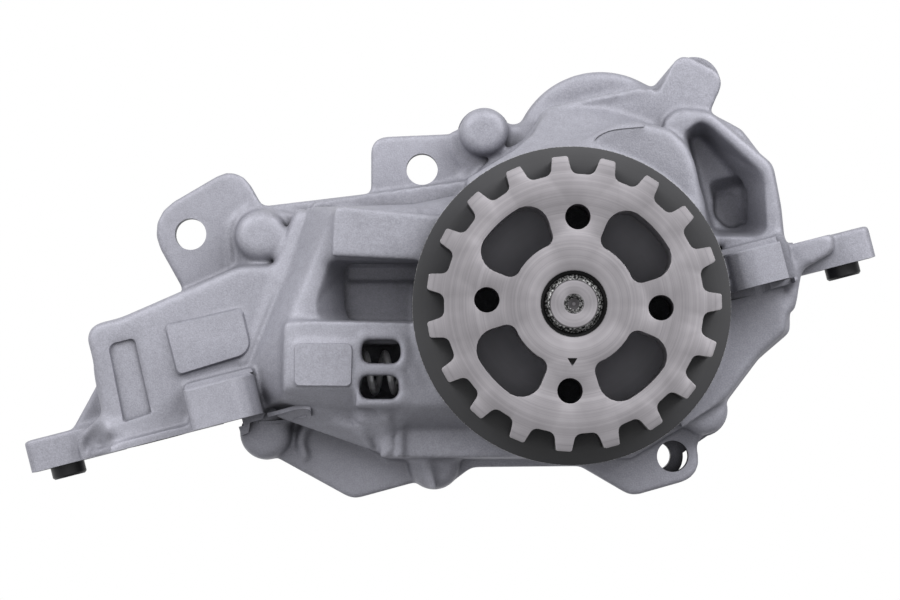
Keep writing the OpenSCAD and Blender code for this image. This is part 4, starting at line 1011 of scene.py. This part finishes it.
class OILPUMP_OT_stage(bpy.types.Operator):
    """Set the camera, the light and the white surroundings"""

    bl_idname = "oilpump.stage"
    bl_label = "Camera and light"

    def execute(self, context):
        shot = context.scene.oilpump_shot
        across = Vector((math.cos(TILT), 0.0, -math.sin(TILT)))
        upright = Vector((math.sin(TILT), 0.0, math.cos(TILT)))
        forward = math.cos(shot.pitch) * Vector(Y_AXIS) + math.sin(shot.pitch) * upright
        up = -math.sin(shot.pitch) * Vector(Y_AXIS) + math.cos(shot.pitch) * upright
        data = bpy.data.cameras.new("photo_camera")
        data.sensor_width = shot.sensor
        data.lens = shot.lens
        data.clip_start = 0.05
        data.clip_end = 20.0
        camera = bpy.data.objects.new("photo_camera", data)
        context.scene.collection.objects.link(camera)
        place_at = shot.raised * up - shot.distance * forward - shot.aside * across
        turn = Matrix((across, up, -forward)).transposed().to_4x4()
        camera.matrix_world = Matrix.Translation(place_at) @ turn
        context.scene.camera = camera

        world = bpy.data.worlds.new("studio")
        context.scene.world = world
        world.use_nodes = True
        tree = world.node_tree
        tree.nodes.clear()
        out = tree.nodes.new("ShaderNodeOutputWorld")
        direction = tree.nodes.new("ShaderNodeTexCoord").outputs["Generated"]
        # each lobe of light: its direction, how narrow it is and its strength
        lobes = (
            (upright, 1.5, shot.sky),
            (forward, 1.0, shot.back),
            (-across, 1.5, shot.left),
            (-forward, 6.0, shot.front),
            (across - forward + 0.6 * upright, 8.0, shot.right),
        )
        total = None
        for toward, power, strength in lobes:
            facing = node(tree, "ShaderNodeVectorMath", operation="DOT_PRODUCT")
            link(tree, direction, facing.inputs[0])
            facing.inputs[1].default_value = toward.normalized()
            soft = calc(tree, "POWER", calc(tree, "MAXIMUM", facing.outputs["Value"], 0.0), power)
            part = calc(tree, "MULTIPLY", soft, strength)
            total = part if total is None else calc(tree, "ADD", total, part)
        lit = node(tree, "ShaderNodeBackground", Strength=shot.world)
        link(tree, total, lit.inputs["Color"])
        white = node(tree, "ShaderNodeBackground", Color=(1, 1, 1, 1), Strength=1.0)
        rays = tree.nodes.new("ShaderNodeLightPath").outputs
        seen = calc(tree, "MAXIMUM", rays["Is Camera Ray"], rays["Is Transmission Ray"])
        seen = calc(tree, "MAXIMUM", seen, calc(tree, "MULTIPLY", rays["Is Glossy Ray"], shot.mirrored))
        mix = tree.nodes.new("ShaderNodeMixShader")
        link(tree, seen, mix.inputs[0])
        link(tree, lit.outputs[0], mix.inputs[1])
        link(tree, white.outputs[0], mix.inputs[2])
        link(tree, mix.outputs[0], out.inputs["Surface"])

        middle = Vector((-0.02, 0.03, 0.0))
        for name, side, watts in (
            ("left_softbox", -shot.left_aside, shot.left_key),
            ("right_softbox", shot.right_aside, shot.right_key),
        ):
            data = bpy.data.lights.new(name, "AREA")
            data.shape = "SQUARE"
            data.size = shot.lamp_size
            data.energy = watts
            lamp = bpy.data.objects.new(name, data)
            context.scene.collection.objects.link(lamp)
            lamp.location = across * side + upright * shot.lamp_height - forward * shot.lamp_front
            aim = middle - lamp.location
            lamp.rotation_mode = "QUATERNION"
            lamp.rotation_quaternion = aim.to_track_quat("-Z", "Y")

        context.scene.view_settings.view_transform = "Standard"
        return {"FINISHED"}


class OILPUMP_PT_panel(bpy.types.Panel):
    """Buttons and settings of the oil pump"""

    bl_label = "Oil pump"
    bl_idname = "OILPUMP_PT_panel"
    bl_space_type = "VIEW_3D"
    bl_region_type = "UI"
    bl_category = "Oil pump"

    def draw(self, context):
        layout = self.layout
        for group in ("oilpump_casting", "oilpump_steel", "oilpump_shot"):
            box = layout.box()
            settings = getattr(context.scene, group)
            for name in settings.__annotations__:
                box.prop(settings, name)
        for operator in OPERATORS:
            layout.operator(operator.bl_idname)


SETTINGS = (OilPumpCasting, OilPumpSteel, OilPumpShot)
OPERATORS = (
    OILPUMP_OT_housing,
    OILPUMP_OT_cover,
    OILPUMP_OT_pulley,
    OILPUMP_OT_small_parts,
    OILPUMP_OT_stage,
)


def register():
    for cls in (*SETTINGS, *OPERATORS, OILPUMP_PT_panel):
        bpy.utils.register_class(cls)
    bpy.types.Scene.oilpump_casting = PointerProperty(type=OilPumpCasting)
    bpy.types.Scene.oilpump_steel = PointerProperty(type=OilPumpSteel)
    bpy.types.Scene.oilpump_shot = PointerProperty(type=OilPumpShot)


def unregister():
    del bpy.types.Scene.oilpump_shot
    del bpy.types.Scene.oilpump_steel
    del bpy.types.Scene.oilpump_casting
    for cls in reversed((*SETTINGS, *OPERATORS, OILPUMP_PT_panel)):
        bpy.utils.unregister_class(cls)


def main():
    register()
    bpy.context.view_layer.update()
    bpy.ops.oilpump.housing()
    bpy.ops.oilpump.cover()
    bpy.ops.oilpump.pulley()
    bpy.ops.oilpump.small_parts()
    bpy.ops.oilpump.stage()


if __name__ == "__main__":
    main()
